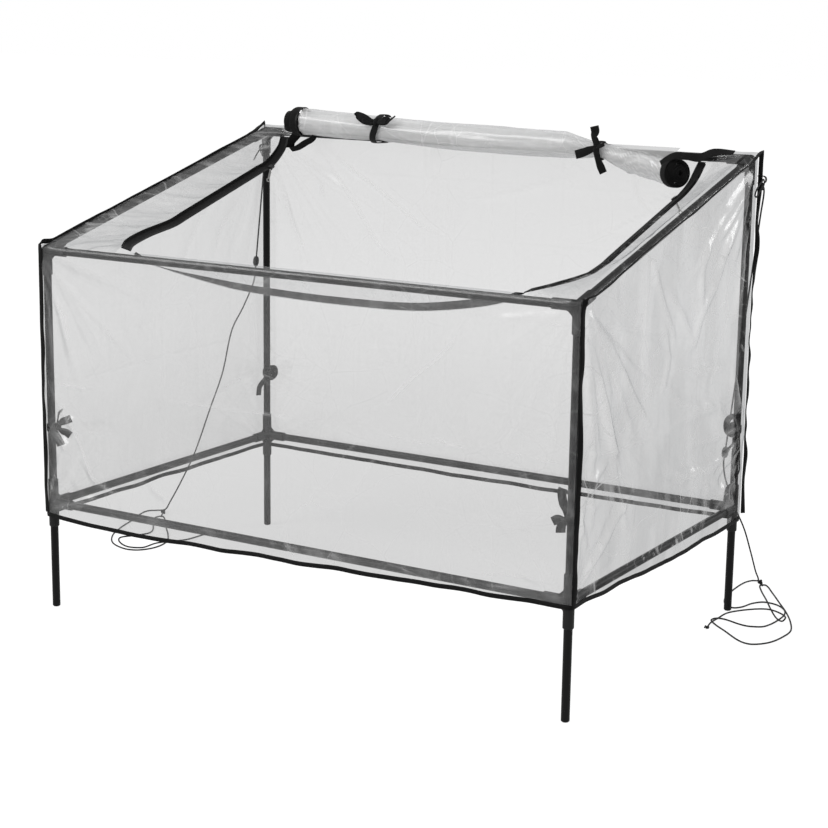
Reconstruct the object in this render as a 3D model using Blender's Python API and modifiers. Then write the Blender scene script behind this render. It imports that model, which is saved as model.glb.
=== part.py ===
"""Raised bed greenhouse: a push-fit tube frame under a clear film cover.

The front is -Y, +Z is up, and the ground is z = 0, at the ends of the legs. The roof door is rolled
up and tied along the back rail, and two guy ropes hang from the back corners. Sizes are in metres.
"""
import math

import bmesh
import bpy
from mathutils import Matrix, Vector

# Frame
POST_SPACING_X = 1.180
POST_SPACING_Y = 0.750
LEG_LENGTH = 0.222
FRONT_RISE = 0.520
BACK_RISE = 0.715
TUBE_DIAMETER = 0.016
TUBE_WALL = 0.0008
TUBE_STEPS = 16
LEG_TIP_CHAMFER = 0.0020
LEG_TIP_FLOOR = 0.0030
SWAGE_LENGTH = 0.030
SWAGE_TAPER = 0.005
SWAGE_GAP = 0.0005

# Corner fittings
SLEEVE_WALL = 0.0023
SLEEVE_REACH = 0.050
SLEEVE_CHAMFER = 0.0015
SOCKET_STOP = 0.015
SOCKET_GAP = 0.0003
SLEEVE_STEPS = 16
HUB_SWELL = 0.0005
WEB_FILLET = 0.018
WEB_THICKNESS = 0.005
WEB_ARC_POINTS = 4

# Film cover
FILM_THICKNESS = 0.0010
SEAT_GAP = 0.0004
SEAM_GAP = 0.0005
BINDING_WIDTH = 0.010
BINDING_THICKNESS = 0.0018
HEM_HEIGHT = 0.009
HEM_CORNER_RADIUS = 0.004
PANEL_STATIONS = 10
PANEL_SPLITS = {"front": 2, "back": 2, "left": 1, "right": 1}
PANEL_ROWS = 8
CREASE_HEIGHT = 0.0025
CREASE_WIDTH = 0.045

# Hem line below the bottom rails: share of each side's length and drop
HEM_DROPS = {
    "front": [(0.0, 0.023), (0.1, 0.031), (0.2, 0.032), (0.5, 0.022), (0.8, 0.013), (1.0, 0.008)],
    "right": [(0.0, 0.008), (0.2, 0.011), (0.5, 0.024), (0.8, 0.025), (1.0, 0.024)],
    "back": [(0.0, 0.024), (0.50, 0.029), (1.0, 0.026)],
    "left": [(0.0, 0.026), (0.50, 0.024), (1.0, 0.023)],
}

# Folds that run out of the cover's corners: start and end as shares of the panel, then width and height
FOLDS = {
    "front": [
        ((0.00, 1.00), (0.30, 0.45), 0.050, 0.0045), ((0.00, 1.00), (0.12, 0.20), 0.040, 0.0040),
        ((0.00, 0.00), (0.24, 0.42), 0.050, 0.0040), ((1.00, 1.00), (0.74, 0.40), 0.055, 0.0045),
        ((1.00, 0.00), (0.70, 0.36), 0.050, 0.0045), ((1.00, 0.00), (0.86, 0.60), 0.040, 0.0040),
        ((0.45, 1.00), (0.48, 0.05), 0.060, 0.0025),
    ],
    "back": [
        ((0.00, 1.00), (0.28, 0.40), 0.055, 0.0045), ((1.00, 1.00), (0.72, 0.40), 0.055, 0.0045),
        ((0.00, 0.00), (0.26, 0.36), 0.050, 0.0040), ((1.00, 0.00), (0.74, 0.36), 0.050, 0.0040),
        ((0.50, 1.00), (0.52, 0.10), 0.070, 0.0030),
    ],
    "left": [
        ((0.00, 0.00), (0.45, 0.50), 0.050, 0.0040), ((1.00, 0.00), (0.55, 0.46), 0.050, 0.0040),
        ((0.00, 1.00), (0.40, 0.40), 0.050, 0.0040), ((1.00, 1.00), (0.62, 0.35), 0.055, 0.0045),
    ],
    "right": [
        ((0.00, 0.00), (0.55, 0.32), 0.050, 0.0045), ((1.00, 0.00), (0.50, 0.52), 0.050, 0.0045),
        ((0.00, 1.00), (0.36, 0.25), 0.050, 0.0045), ((1.00, 1.00), (0.66, 0.30), 0.055, 0.0045),
        ((0.85, 0.95), (0.80, 0.10), 0.050, 0.0040),
    ],
}

# Roof opening: centre lines of the zip tapes, in the frame's own coordinates
ZIP_TAPE_WIDTH = 0.020
ZIP_TAPE_THICKNESS = 0.0012
ZIP_TAPE_GAP = 0.0006
# Each point: inset from the side posts' axes, share of the depth and a shift from there, depth under the roof
LEFT_ZIP_BEND = [
    (0.1920, 0.000, 0.0130, 0.0005),
    (0.1540, 0.000, 0.0720, 0.0138),
    (0.1320, 0.200, 0.0030, 0.0259),
]
LEFT_ZIP_LOW = (0.1235, 0.330, -0.0025, 0.0388)
LEFT_ZIP_HIGH = (0.0965, 0.840, 0.0000, 0.0424)
LEFT_ZIP_TOP = [(0.0950, 1.000, -0.0750, 0.0236), (0.0920, 1.000, -0.0570, 0.0023)]
RIGHT_ZIP_BEND = [
    (0.1040, 0.000, 0.0130, 0.0005),
    (0.0930, 0.000, 0.0800, 0.0149),
    (0.0850, 0.260, 0.0000, 0.0388),
]
RIGHT_ZIP_LOW = (0.0925, 0.380, 0.0000, 0.0532)
RIGHT_ZIP_HIGH = (0.1080, 0.880, 0.0000, 0.0577)
RIGHT_ZIP_TOP = [(0.0995, 1.000, -0.0530, 0.0413), (0.0900, 1.000, -0.0300, 0.0113)]
ZIP_LEAN = {"left": math.radians(17), "right": math.radians(28)}
# Each point: share of the half width and a shift from there, distance behind the front rails' axes
# and height over them
FRONT_ZIP_LINE = [
    (-1.000, 0.2060, 0.0230, 0.0080), (-1.000, 0.2380, 0.0410, -0.0140),
    (-0.390, 0.0000, 0.0490, -0.0330), (-0.170, 0.0000, 0.0530, -0.0440),
    (0.170, 0.0000, 0.0550, -0.0470), (0.424, 0.0000, 0.0530, -0.0410),
    (1.000, -0.1800, 0.0430, -0.0130), (1.000, -0.1240, 0.0230, 0.0080),
]
FRONT_ZIP_LEAN = math.radians(52)
MARGIN_LEAN = math.radians(60)
ZIP_TRAVEL = {"left": 0.340, "right": 0.330}

# Zip slider and its pull
SLIDER_LENGTH = 0.014
SLIDER_WIDTH = 0.010
SLIDER_DEPTH = 0.006
SLIDER_SLOT = 0.0021
SLIDER_OVERLAP = 0.006
SLIDER_BEVEL = 0.0008
EAR_SIZE = (0.0012, 0.0040, 0.0042)
EAR_GAP = 0.0032
PULL_PIN_DIAMETER = 0.0016
PULL_PIN_DROP = 0.0056
PULL_EYE_GAP = 0.0003
PULL_EYE_WALL = 0.0009
PULL_LENGTH = 0.025
PULL_WIDTH = 0.0048
PULL_THICKNESS = 0.0013
PULL_RING_DIAMETER = 0.0090
PULL_RING_HOLE = 0.0052

# Rolled door
# Each station: share of the half width and a shift from there, height over the back rails' axis, radius
ROLL_STATIONS = [
    (-1.0000, 0.1350, 0.0290, 0.0300), (-0.6102, 0.0000, 0.0260, 0.0300),
    (-0.4576, 0.0000, 0.0230, 0.0290), (-0.1695, 0.0000, 0.0160, 0.0290),
    (0.1017, 0.0000, 0.0140, 0.0290), (0.3220, 0.0000, 0.0130, 0.0280),
    (0.4203, 0.0000, 0.0070, 0.0170), (0.4610, 0.0000, 0.0050, 0.0170),
    (0.5593, 0.0000, -0.0100, 0.0260), (1.0000, -0.1550, -0.0320, 0.0280),
]
ROLL_TURNS = 4
ROLL_POINTS = 10
ROLL_PITCH_SHARE = 0.20
ROLL_SEAT_REACH = 0.0264
ROLL_REACH = 0.030
ROLL_TAIL_HIGH = math.radians(40)
ROLL_TAIL_LOW = math.radians(95)
ROLL_LOW_DROP = 0.046
TAPE_COIL_TURNS = {"left": 2.75, "right": 3.25}
TAPE_COIL_DRIFT = {"left": 0.028, "right": 0.0}
TAPE_COIL_THICKNESS = 0.0016
TAPE_COIL_CORE = 0.009
TAPE_COIL_POINTS = 16
COIL_GAP = 0.0005

# Ribbon ties
TIE_WIDTH = 0.016
TIE_THICKNESS = 0.0012
TIE_GAP = 0.0006
TIE_TAIL = 0.034
TIE_HEIGHT = 0.160
UPPER_TIE_SHARE = {"left": -0.4576, "right": 0.4407}
UPPER_TIE_SLACK = 0.0006
UPPER_TIE_POINTS = 16
LOWER_TIE_POINTS = 12
KNOT_SIZE = (0.012, 0.010, 0.011)
KNOT_STEPS = (8, 5)
KNOT_REACH = 0.45
TIE_TAIL_POINTS = 4

# Guy ropes
ROPE_DIAMETER = 0.003
ROPE_POINTS = 80
ROPE_SIDES = 1
ANCHOR_DROP = 0.054
ANCHOR_LENGTH = 0.013
ANCHOR_HEIGHT = 0.014
ANCHOR_WIDTH = 0.008
ANCHOR_THICKNESS = 0.0014
ROPE_GAP = 0.0010
ROPE_TURN = (0.0, 0.009, -0.016)
TOGGLE_LENGTH = 0.022
TOGGLE_DIAMETER = 0.014
TOGGLE_END_DIAMETER = 0.009
TOGGLE_GAP = 0.0004
TOGGLE_TRAVEL = {"left": 0.16, "right": 0.40}
# Places on the ropes: distances from the back post's axis in x and y, then the share of the back rails' height
LEFT_TOGGLE = (-0.0485, 0.0250, 0.6724)
RIGHT_TOGGLE = (-0.0405, 0.0450, 0.3469)
LOW = ROPE_DIAMETER / 2
OVER = LOW + 1.25 * ROPE_DIAMETER
HIGH = LOW + 2.5 * ROPE_DIAMETER
TOP = LOW + 3.9 * ROPE_DIAMETER
LEFT_ROPE_HANGING = [
    (-0.0550, 0.0240, 0.6190), (-0.0800, 0.0170, 0.5550), (-0.1070, 0.0070, 0.4931), (-0.1290, -0.0020, 0.3821),
    (-0.1600, -0.0100, 0.2882), (-0.2030, -0.0200, 0.1612), (-0.2400, -0.0300, 0.0779), (-0.2640, -0.0400, 0.0267),
    (-0.2760, -0.0440, 0.0053),
]
LEFT_ROPE_LYING = [
    (-0.2930, -0.0510, LOW), (-0.3110, -0.0710, LOW), (-0.3030, -0.1150, LOW), (-0.2870, -0.1590, LOW),
    (-0.2690, -0.2210, LOW), (-0.2420, -0.2830, LOW), (-0.1990, -0.3330, LOW), (-0.1460, -0.3540, LOW),
    (-0.1140, -0.3440, LOW), (-0.0960, -0.3060, LOW), (-0.1030, -0.2570, LOW), (-0.1350, -0.2110, LOW),
    (-0.1860, -0.1550, LOW), (-0.2320, -0.1020, LOW), (-0.2520, -0.0880, LOW), (-0.2560, -0.1090, LOW),
    (-0.2280, -0.1490, LOW), (-0.1840, -0.2150, LOW), (-0.1980, -0.2560, LOW), (-0.2150, -0.2870, LOW),
    (-0.1930, -0.3170, LOW), (-0.1510, -0.3370, LOW), (-0.1200, -0.3240, LOW), (-0.1080, -0.2890, OVER),
    (-0.0880, -0.2560, OVER), (-0.0750, -0.2110, LOW), (-0.0690, -0.1590, LOW),
]
RIGHT_ROPE_HANGING = [
    (-0.0420, 0.0550, 0.2882), (-0.0340, 0.0900, 0.2188), (-0.0200, 0.1230, 0.1547), (-0.0140, 0.1550, 0.0907),
    (-0.0130, 0.1870, 0.0374), (-0.0160, 0.2150, 0.0064),
]
RIGHT_ROPE_LYING = [
    (-0.0310, 0.2200, LOW), (-0.0410, 0.1890, LOW), (-0.0390, 0.1040, LOW), (-0.0310, 0.0600, LOW),
    (-0.0160, 0.0290, LOW), (0.0050, 0.0160, LOW), (0.0190, 0.0310, LOW), (0.0290, 0.0670, LOW),
    (0.0470, 0.0890, LOW), (0.0790, 0.0840, LOW), (0.1060, 0.0540, LOW), (0.1150, 0.0080, LOW),
    (0.1060, -0.0620, LOW), (0.0810, -0.0790, LOW), (0.0590, -0.0780, LOW), (0.0210, -0.0650, LOW),
    (0.0030, -0.0680, LOW), (-0.0010, -0.0850, LOW), (0.0180, -0.1080, LOW), (0.0460, -0.1320, LOW),
    (0.0990, -0.1770, LOW), (0.1250, -0.1810, LOW), (0.1510, -0.1500, LOW), (0.1620, -0.0920, LOW),
    (0.1600, -0.0560, LOW), (0.1450, -0.0190, OVER), (0.1160, 0.0350, OVER), (0.0810, 0.0890, OVER),
    (0.0330, 0.1670, LOW), (0.0060, 0.2040, LOW), (-0.0040, 0.1970, LOW), (0.0100, 0.1650, LOW),
    (0.0500, 0.0930, OVER), (0.0880, 0.0220, HIGH), (0.1170, -0.0230, HIGH), (0.1320, -0.0330, HIGH),
    (0.1330, -0.0170, TOP), (0.1100, 0.0050, TOP), (0.0860, 0.0130, TOP), (0.0600, 0.0150, HIGH),
    (0.0300, -0.0030, OVER), (0.0130, -0.0350, OVER), (0.0100, -0.0800, OVER), (0.0090, -0.1130, OVER),
    (0.0110, -0.1390, LOW),
]

# Values worked out from the sizes above
SIDES = {"left": -1, "right": 1}
ROWS = {"front": -1, "back": 1}
TUBE_RADIUS = TUBE_DIAMETER / 2
SLEEVE_RADIUS = TUBE_RADIUS + SLEEVE_WALL
HALF_X = POST_SPACING_X / 2
HALF_Y = POST_SPACING_Y / 2
FRONT_Z = LEG_LENGTH + FRONT_RISE
BACK_Z = LEG_LENGTH + BACK_RISE
TOP_Z = {"front": FRONT_Z, "back": BACK_Z}
ROOF_RISE = (BACK_Z - FRONT_Z) / POST_SPACING_Y
COVER_OFFSET = SLEEVE_RADIUS + HUB_SWELL + SEAT_GAP + FILM_THICKNESS / 2
ROOF_OFFSET = COVER_OFFSET * math.sqrt(1 + ROOF_RISE**2)
COVER_X = HALF_X + COVER_OFFSET
COVER_Y = HALF_Y + COVER_OFFSET
RAIL_LAP = COVER_OFFSET + SEAT_GAP
ROPE_RADIUS = ROPE_DIAMETER / 2
ROLL_SEAT = RAIL_LAP + ROLL_SEAT_REACH
ROLL_LINE = [(share * HALF_X + shift, BACK_Z + rise, radius) for share, shift, rise, radius in ROLL_STATIONS]

COLOURS = {
    "tube": ((0.020, 0.020, 0.022, 1.0), 0.38, 0.30),
    "fitting": ((0.018, 0.018, 0.020, 1.0), 0.50, 0.0),
    "film": ((0.86, 0.87, 0.88, 0.28), 0.12, 0.0),
    "binding": ((0.016, 0.016, 0.018, 1.0), 0.80, 0.0),
    "zip": ((0.020, 0.020, 0.022, 1.0), 0.55, 0.0),
    "pull": ((0.45, 0.45, 0.46, 1.0), 0.35, 0.90),
    "rope": ((0.035, 0.036, 0.040, 1.0), 0.75, 0.0),
}


def clear_scene():
    for obj in list(bpy.data.objects):
        bpy.data.objects.remove(obj, do_unlink=True)


def make_collection(name):
    group = bpy.data.collections.new(name)
    bpy.context.scene.collection.children.link(group)
    return group


def material(slot, name):
    """A material of its own for each object, in the colour of its slot."""
    colour, roughness, metallic = COLOURS[slot]
    made = bpy.data.materials.new(name)
    made.use_nodes = True
    shader = made.node_tree.nodes["Principled BSDF"]
    shader.inputs["Base Color"].default_value = colour
    shader.inputs["Roughness"].default_value = roughness
    shader.inputs["Metallic"].default_value = metallic
    shader.inputs["Alpha"].default_value = colour[3]
    return made


def place(name, mesh, slot=None, matrix=None, group=None):
    """An object for the mesh: a part with a material, or a cutter when it has no slot."""
    obj = bpy.data.objects.new(name, mesh)
    if slot is None:
        obj.display_type = "WIRE"
        obj.hide_render = True
        (group or CUTTERS).objects.link(obj)
    else:
        mesh.materials.append(material(slot, name))
        (group or PARTS).objects.link(obj)
    if matrix is not None:
        obj.matrix_world = matrix
    return obj


def aim(start, direction):
    """A placement whose own +Z looks along the direction."""
    turn = Vector(direction).normalized().to_track_quat("Z", "Y")
    return Matrix.Translation(Vector(start)) @ turn.to_matrix().to_4x4()


def axes_at(origin, x_axis, z_axis):
    """A placement with the given X axis, and Z as near the given one as it can be."""
    x = Vector(x_axis).normalized()
    z = Vector(z_axis)
    z = (z - x * z.dot(x)).normalized()
    y = z.cross(x)
    turn = Matrix((x, y, z)).transposed().to_4x4()
    return Matrix.Translation(Vector(origin)) @ turn


def turned_mesh(name, profile, closed):
    """A profile of radius and height, which the Screw modifier turns about Z."""
    mesh = bpy.data.meshes.new(name)
    count = len(profile)
    edges = [(i, i + 1) for i in range(count - 1)]
    if closed:
        edges.append((count - 1, 0))
    mesh.from_pydata([(radius, 0.0, height) for radius, height in profile], edges, [])
    return mesh


def add_screw(obj, steps):
    screw = obj.modifiers.new("Turn", "SCREW")
    screw.axis = "Z"
    screw.angle = math.tau
    screw.steps = steps
    screw.render_steps = steps
    screw.use_merge_vertices = True
    screw.merge_threshold = 0.00001
    screw.use_smooth_shade = True


def turned(name, profile, closed, steps, matrix, slot=None, group=None):
    obj = place(name, turned_mesh(name, profile, closed), slot, matrix, group)
    add_screw(obj, steps)
    return obj


def primitive(name, build, slot=None, matrix=None, group=None):
    """An object whose mesh one bmesh operator makes."""
    mesh = bpy.data.meshes.new(name)
    shape = bmesh.new()
    build(shape)
    shape.to_mesh(mesh)
    shape.free()
    return place(name, mesh, slot, matrix, group)


def cylinder(name, radius, depth, steps, slot=None, matrix=None, group=None):
    return primitive(
        name,
        lambda shape: bmesh.ops.create_cone(
            shape, cap_ends=True, segments=steps, radius1=radius, radius2=radius, depth=depth
        ),
        slot,
        matrix,
        group,
    )


def block(name, size, slot=None, matrix=None, group=None):
    return primitive(
        name,
        lambda shape: bmesh.ops.create_cube(shape, size=1.0, matrix=Matrix.Diagonal((*size, 1.0))),
        slot,
        matrix,
        group,
    )


def ball(name, size, slot=None, matrix=None, group=None, steps=(12, 8)):
    scale = Matrix.Diagonal((size[0] / 2, size[1] / 2, size[2] / 2, 1.0))
    return primitive(
        name,
        lambda shape: bmesh.ops.create_uvsphere(
            shape, u_segments=steps[0], v_segments=steps[1], radius=1.0, matrix=scale
        ),
        slot,
        matrix,
        group,
    )


def plate(name, outline, thickness, matrix, group):
    """A flat outline in its own XY plane, as thick as stated."""
    curve = bpy.data.curves.new(name, "CURVE")
    curve.dimensions = "2D"
    curve.fill_mode = "BOTH"
    curve.extrude = thickness / 2
    curve.resolution_u = 1
    spline = curve.splines.new("POLY")
    spline.points.add(len(outline) - 1)
    for point, (x, y) in zip(spline.points, outline):
        point.co = (x, y, 0.0, 1.0)
    spline.use_cyclic_u = True
    flat = bpy.data.objects.new(name, curve)
    bpy.context.scene.collection.objects.link(flat)
    bpy.context.view_layer.update()
    mesh = bpy.data.meshes.new_from_object(flat.evaluated_get(bpy.context.evaluated_depsgraph_get()))
    shape = bmesh.new()
    shape.from_mesh(mesh)
    bmesh.ops.remove_doubles(shape, verts=shape.verts, dist=0.000001)
    bmesh.ops.recalc_face_normals(shape, faces=shape.faces)
    shape.to_mesh(mesh)
    shape.free()
    bpy.data.objects.remove(flat, do_unlink=True)
    return place(name, mesh, None, matrix, group)


def join_and_cut(obj, unions=None, cuts=None):
    """Boolean modifiers that add one group of shapes to the object and take another away."""
    for label, group, operation in (("Join", unions, "UNION"), ("Cut", cuts, "DIFFERENCE")):
        if group is None or not group.objects:
            continue
        modifier = obj.modifiers.new(label, "BOOLEAN")
        modifier.operation = operation
        modifier.operand_type = "COLLECTION"
        modifier.collection = group
        modifier.solver = "EXACT"


def cutter_group(name):
    group = bpy.data.collections.new(name)
    CUTTERS.children.link(group)
    return group


def sheet(name, grid, thickness, slot, group=None, ring=False):
    """A grid of points as a thin shell. With ring, the last column meets the first."""
    rows, columns = len(grid), len(grid[0])
    mesh = bpy.data.meshes.new(name)
    vertices = [tuple(point) for row in grid for point in row]
    faces = []
    for i in range(rows - 1):
        for j in range(columns if ring else columns - 1):
            k = (j + 1) % columns
            faces.append((i * columns + j, i * columns + k, (i + 1) * columns + k, (i + 1) * columns + j))
    mesh.from_pydata(vertices, [], faces)
    mesh.shade_smooth()
    obj = place(name, mesh, slot, None, group)
    shell = obj.modifiers.new("Thickness", "SOLIDIFY")
    shell.thickness = thickness
    shell.offset = 0.0
    return obj


def ribbon(name, line, across, width, thickness, slot, group=None):
    """A flat band along a line, with the direction of its width at each point."""
    grid = [[], []]
    for point, side in zip(line, across):
        step = Vector(side).normalized() * width / 2
        grid[0].append(Vector(point) - step)
        grid[1].append(Vector(point) + step)
    return sheet(name, grid, thickness, slot, group)


def share_of(table, value):
    """Reads a list of (place, value) pairs, straight between them."""
    for (low, start), (high, end) in zip(table, table[1:]):
        if value <= high:
            return start + (end - start) * (value - low) / (high - low)
    return table[-1][1]


def roof_z(y):
    """Height of the frame's roof plane, through the rails' axes."""
    return FRONT_Z + ROOF_RISE * (y + HALF_Y)


def cover_roof_z(y):
    return roof_z(y) + ROOF_OFFSET


def tube_profile(length, radius=TUBE_RADIUS, wall=TUBE_WALL):
    return [(radius - wall, 0.0), (radius - wall, length), (radius, length), (radius, 0.0)]


def plain_tube(name, start, end):
    start, end = Vector(start), Vector(end)
    profile = tube_profile((end - start).length)
    return turned(name, profile, True, TUBE_STEPS, aim(start, end - start), "tube")


def swaged_tube(name, start, end):
    """A tube whose far end is drawn in, to push into the next tube."""
    start, end = Vector(start), Vector(end)
    length = (end - start).length
    neck = (TUBE_RADIUS - TUBE_WALL) * math.cos(math.pi / TUBE_STEPS) - SOCKET_GAP
    bore = TUBE_RADIUS - TUBE_WALL
    profile = [
        (bore, 0.0), (bore, length - SWAGE_TAPER), (neck - TUBE_WALL, length),
        (neck - TUBE_WALL, length + SWAGE_LENGTH), (neck, length + SWAGE_LENGTH), (neck, length),
        (TUBE_RADIUS, length - SWAGE_TAPER), (TUBE_RADIUS, 0.0),
    ]
    return turned(name, profile, True, TUBE_STEPS, aim(start, end - start), "tube")


def legs_and_posts():
    end = SOCKET_STOP + SOCKET_GAP
    for row, y_sign in ROWS.items():
        for side, x_sign in SIDES.items():
            x, y = x_sign * HALF_X, y_sign * HALF_Y
            plain_tube(f"post_{row}_{side}", (x, y, LEG_LENGTH + end), (x, y, TOP_Z[row] - end))
            bore = TUBE_RADIUS - TUBE_WALL
            length = LEG_LENGTH - end
            profile = [
                (0.0, LEG_TIP_FLOOR), (bore, LEG_TIP_FLOOR), (bore, length), (TUBE_RADIUS, length),
                (TUBE_RADIUS, LEG_TIP_CHAMFER), (TUBE_RADIUS - LEG_TIP_CHAMFER, 0.0), (0.0, 0.0),
            ]
            turned(f"leg_{row}_{side}", profile, False, TUBE_STEPS, aim((x, y, 0), (0, 0, 1)), "tube")


def rails():
    """Each long rail is two tubes that meet in the middle. The side rails are one tube each."""
    end = SOCKET_STOP + SOCKET_GAP
    for row, y_sign in ROWS.items():
        for level, z in (("bottom", LEG_LENGTH), ("top", TOP_Z[row])):
            y = y_sign * HALF_Y
            swaged_tube(f"{row}_{level}_rail_left", (-HALF_X + end, y, z), (0.0, y, z))
            plain_tube(f"{row}_{level}_rail_right", (HALF_X - end, y, z), (SWAGE_GAP, y, z))
    slope = Vector((0.0, POST_SPACING_Y, BACK_Z - FRONT_Z)).normalized()
    for side, x_sign in SIDES.items():
        x = x_sign * HALF_X
        plain_tube(f"side_bottom_rail_{side}", (x, -HALF_Y + end, LEG_LENGTH), (x, HALF_Y - end, LEG_LENGTH))
        front, back = Vector((x, -HALF_Y, FRONT_Z)), Vector((x, HALF_Y, BACK_Z))
        plain_tube(f"side_top_rail_{side}", front + slope * end, back - slope * end)


def fitting(name, centre, arms, webs, hub=0.0):
    """A moulded corner: sleeves along the arms, filleted webs between two arms, and a round hub if any."""
    adds = cutter_group(name + "_adds")
    bores = cutter_group(name + "_bores")
    profile = [
        (0.0, SLEEVE_REACH), (SLEEVE_RADIUS - SLEEVE_CHAMFER, SLEEVE_REACH),
        (SLEEVE_RADIUS, SLEEVE_REACH - SLEEVE_CHAMFER), (SLEEVE_RADIUS, 0.0), (0.0, 0.0),
    ]
    body = turned(name, profile, False, SLEEVE_STEPS, aim(centre, arms[0]), "fitting")
    bore_radius = (TUBE_RADIUS + SOCKET_GAP) / math.cos(math.pi / TUBE_STEPS)
    depth = SLEEVE_REACH - SOCKET_STOP + 0.01
    for number, arm in enumerate(arms):
        if number:
            turned(f"{name}_sleeve_{number}", profile, False, SLEEVE_STEPS, aim(centre, arm), group=adds)
        middle = Vector(centre) + Vector(arm).normalized() * (SOCKET_STOP + depth / 2)
        cylinder(f"{name}_bore_{number}", bore_radius, depth, TUBE_STEPS, None, aim(middle, arm), bores)
    if hub:
        ball(f"{name}_hub", (hub, hub, hub), None, Matrix.Translation(centre), adds, (SLEEVE_STEPS, 6))
    reach, inner = SLEEVE_RADIUS + WEB_FILLET, 0.8 * SLEEVE_RADIUS
    for number, (first, second) in enumerate(webs):
        u, v = Vector(first).normalized(), Vector(second).normalized()
        x_axis, z_axis = u, u.cross(v)
        y_axis = z_axis.cross(x_axis).normalized()
        corners = [(0.0, 0.0), (reach, 0.0)]
        for step in range(WEB_ARC_POINTS):
            angle = math.pi / 2 * step / (WEB_ARC_POINTS - 1)
            radius = reach - inner
            corners.append((reach - radius * math.sin(angle), reach - radius * math.cos(angle)))
        corners.append((0.0, reach))
        outline = [(a + b * v.dot(x_axis), b * v.dot(y_axis)) for a, b in corners]
        plate(f"{name}_web_{number}", outline, WEB_THICKNESS, axes_at(centre, x_axis, z_axis), adds)
    join_and_cut(body, adds, bores)


def fittings():
    up, down = Vector((0, 0, 1)), Vector((0, 0, -1))
    for row, y_sign in ROWS.items():
        for side, x_sign in SIDES.items():
            x, y = x_sign * HALF_X, y_sign * HALF_Y
            inward_x, inward_y = Vector((-x_sign, 0, 0)), Vector((0, -y_sign, 0))
            fitting(
                f"bottom_fitting_{row}_{side}",
                (x, y, LEG_LENGTH),
                [up, down, inward_x, inward_y],
                [(inward_x, up), (inward_x, down), (inward_y, up), (inward_y, down)],
            )
            slope = Vector((0, -y_sign, -y_sign * ROOF_RISE)).normalized()
            fitting(
                f"top_fitting_{row}_{side}",
                (x, y, TOP_Z[row]),
                [down, inward_x, slope],
                [(inward_x, down), (slope, down)],
                2 * (SLEEVE_RADIUS + HUB_SWELL),
            )


def fold_height(panel, u, v, width, height):
    """How far a panel's folds and its packing crease stand out at a share of its width and height."""
    total = 0.0
    x, z = u * width, v * height
    for (u0, v0), (u1, v1), fold_width, fold_rise in FOLDS[panel]:
        ax, az = u0 * width, v0 * height
        bx, bz = u1 * width, v1 * height
        length = math.hypot(bx - ax, bz - az)
        along = ((x - ax) * (bx - ax) + (z - az) * (bz - az)) / length
        aside = ((x - ax) * (bz - az) - (z - az) * (bx - ax)) / length
        share = along / length
        if 0.0 < share < 1.0:
            spread = fold_width * (0.35 + 0.65 * share)
            total += fold_rise * math.sin(math.pi * share) * math.exp(-((aside / spread) ** 2))
    crease = CREASE_HEIGHT * math.exp(-(((v - 0.52) * height / CREASE_WIDTH) ** 2))
    edge = min(1.0, 8.0 * min(u, 1.0 - u))
    return (total + crease) * max(0.0, edge)


def panel_frame(panel):
    """Start and end of a panel's bottom line as seen from above, and its outward direction."""
    inset = SEAM_GAP + FILM_THICKNESS / 2
    return {
        "front": (Vector((-COVER_X + inset, -COVER_Y, 0)), Vector((COVER_X - inset, -COVER_Y, 0)), (0, -1, 0)),
        "right": (Vector((COVER_X, -COVER_Y + inset, 0)), Vector((COVER_X, COVER_Y - inset, 0)), (1, 0, 0)),
        "back": (Vector((COVER_X - inset, COVER_Y, 0)), Vector((-COVER_X + inset, COVER_Y, 0)), (0, 1, 0)),
        "left": (Vector((-COVER_X, COVER_Y - inset, 0)), Vector((-COVER_X, -COVER_Y + inset, 0)), (-1, 0, 0)),
    }[panel]


def hem_z(panel, share):
    return LEG_LENGTH - share_of(HEM_DROPS[panel], share)


def cover_walls():
    """The four hanging walls, each down to its hem binding."""
    for panel in ("front", "right", "back", "left"):
        start, end, outward = panel_frame(panel)
        columns = PANEL_STATIONS * PANEL_SPLITS[panel]
        width = (end - start).length
        grid = []
        for i in range(PANEL_ROWS + 1):
            v = i / PANEL_ROWS
            row = []
            for j in range(columns + 1):
                u = j / columns
                point = start.lerp(end, u)
                bottom = hem_z(panel, u) + HEM_HEIGHT / 2 + SEAM_GAP
                top = cover_roof_z(point.y) - SEAM_GAP - FILM_THICKNESS / 2
                rise = fold_height(panel, u, v, width, top - bottom) * math.sin(math.pi * v) ** 0.5
                point = point + Vector(outward) * rise
                point.z = bottom + (top - bottom) * v
                row.append(point)
            grid.append(row)
        sheet(f"cover_{panel}", grid, FILM_THICKNESS, "film")


def hem_binding():
    """The bound lower edge, one band right round the cover."""
    line = []
    for panel in ("front", "right", "back", "left"):
        start, end, _ = panel_frame(panel)
        trim = HEM_CORNER_RADIUS / (end - start).length
        middle = [k / PANEL_STATIONS for k in range(1, PANEL_STATIONS)]
        for share in [trim] + middle + [1.0 - trim]:
            point = start.lerp(end, share)
            point.z = hem_z(panel, share)
            line.append(point)
    step = Vector((0, 0, HEM_HEIGHT / 2))
    grid = [[point - step for point in line], [point + step for point in line]]
    sheet("hem_binding", grid, BINDING_THICKNESS, "binding", ring=True)


def anchor_root(x_sign):
    """Where the rope's loop is sewn to the back seam."""
    corner = Vector((x_sign * COVER_X, COVER_Y, cover_roof_z(COVER_Y) - ANCHOR_DROP))
    return corner + Vector((x_sign, 1, 0)).normalized() * BINDING_WIDTH * 0.6


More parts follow.
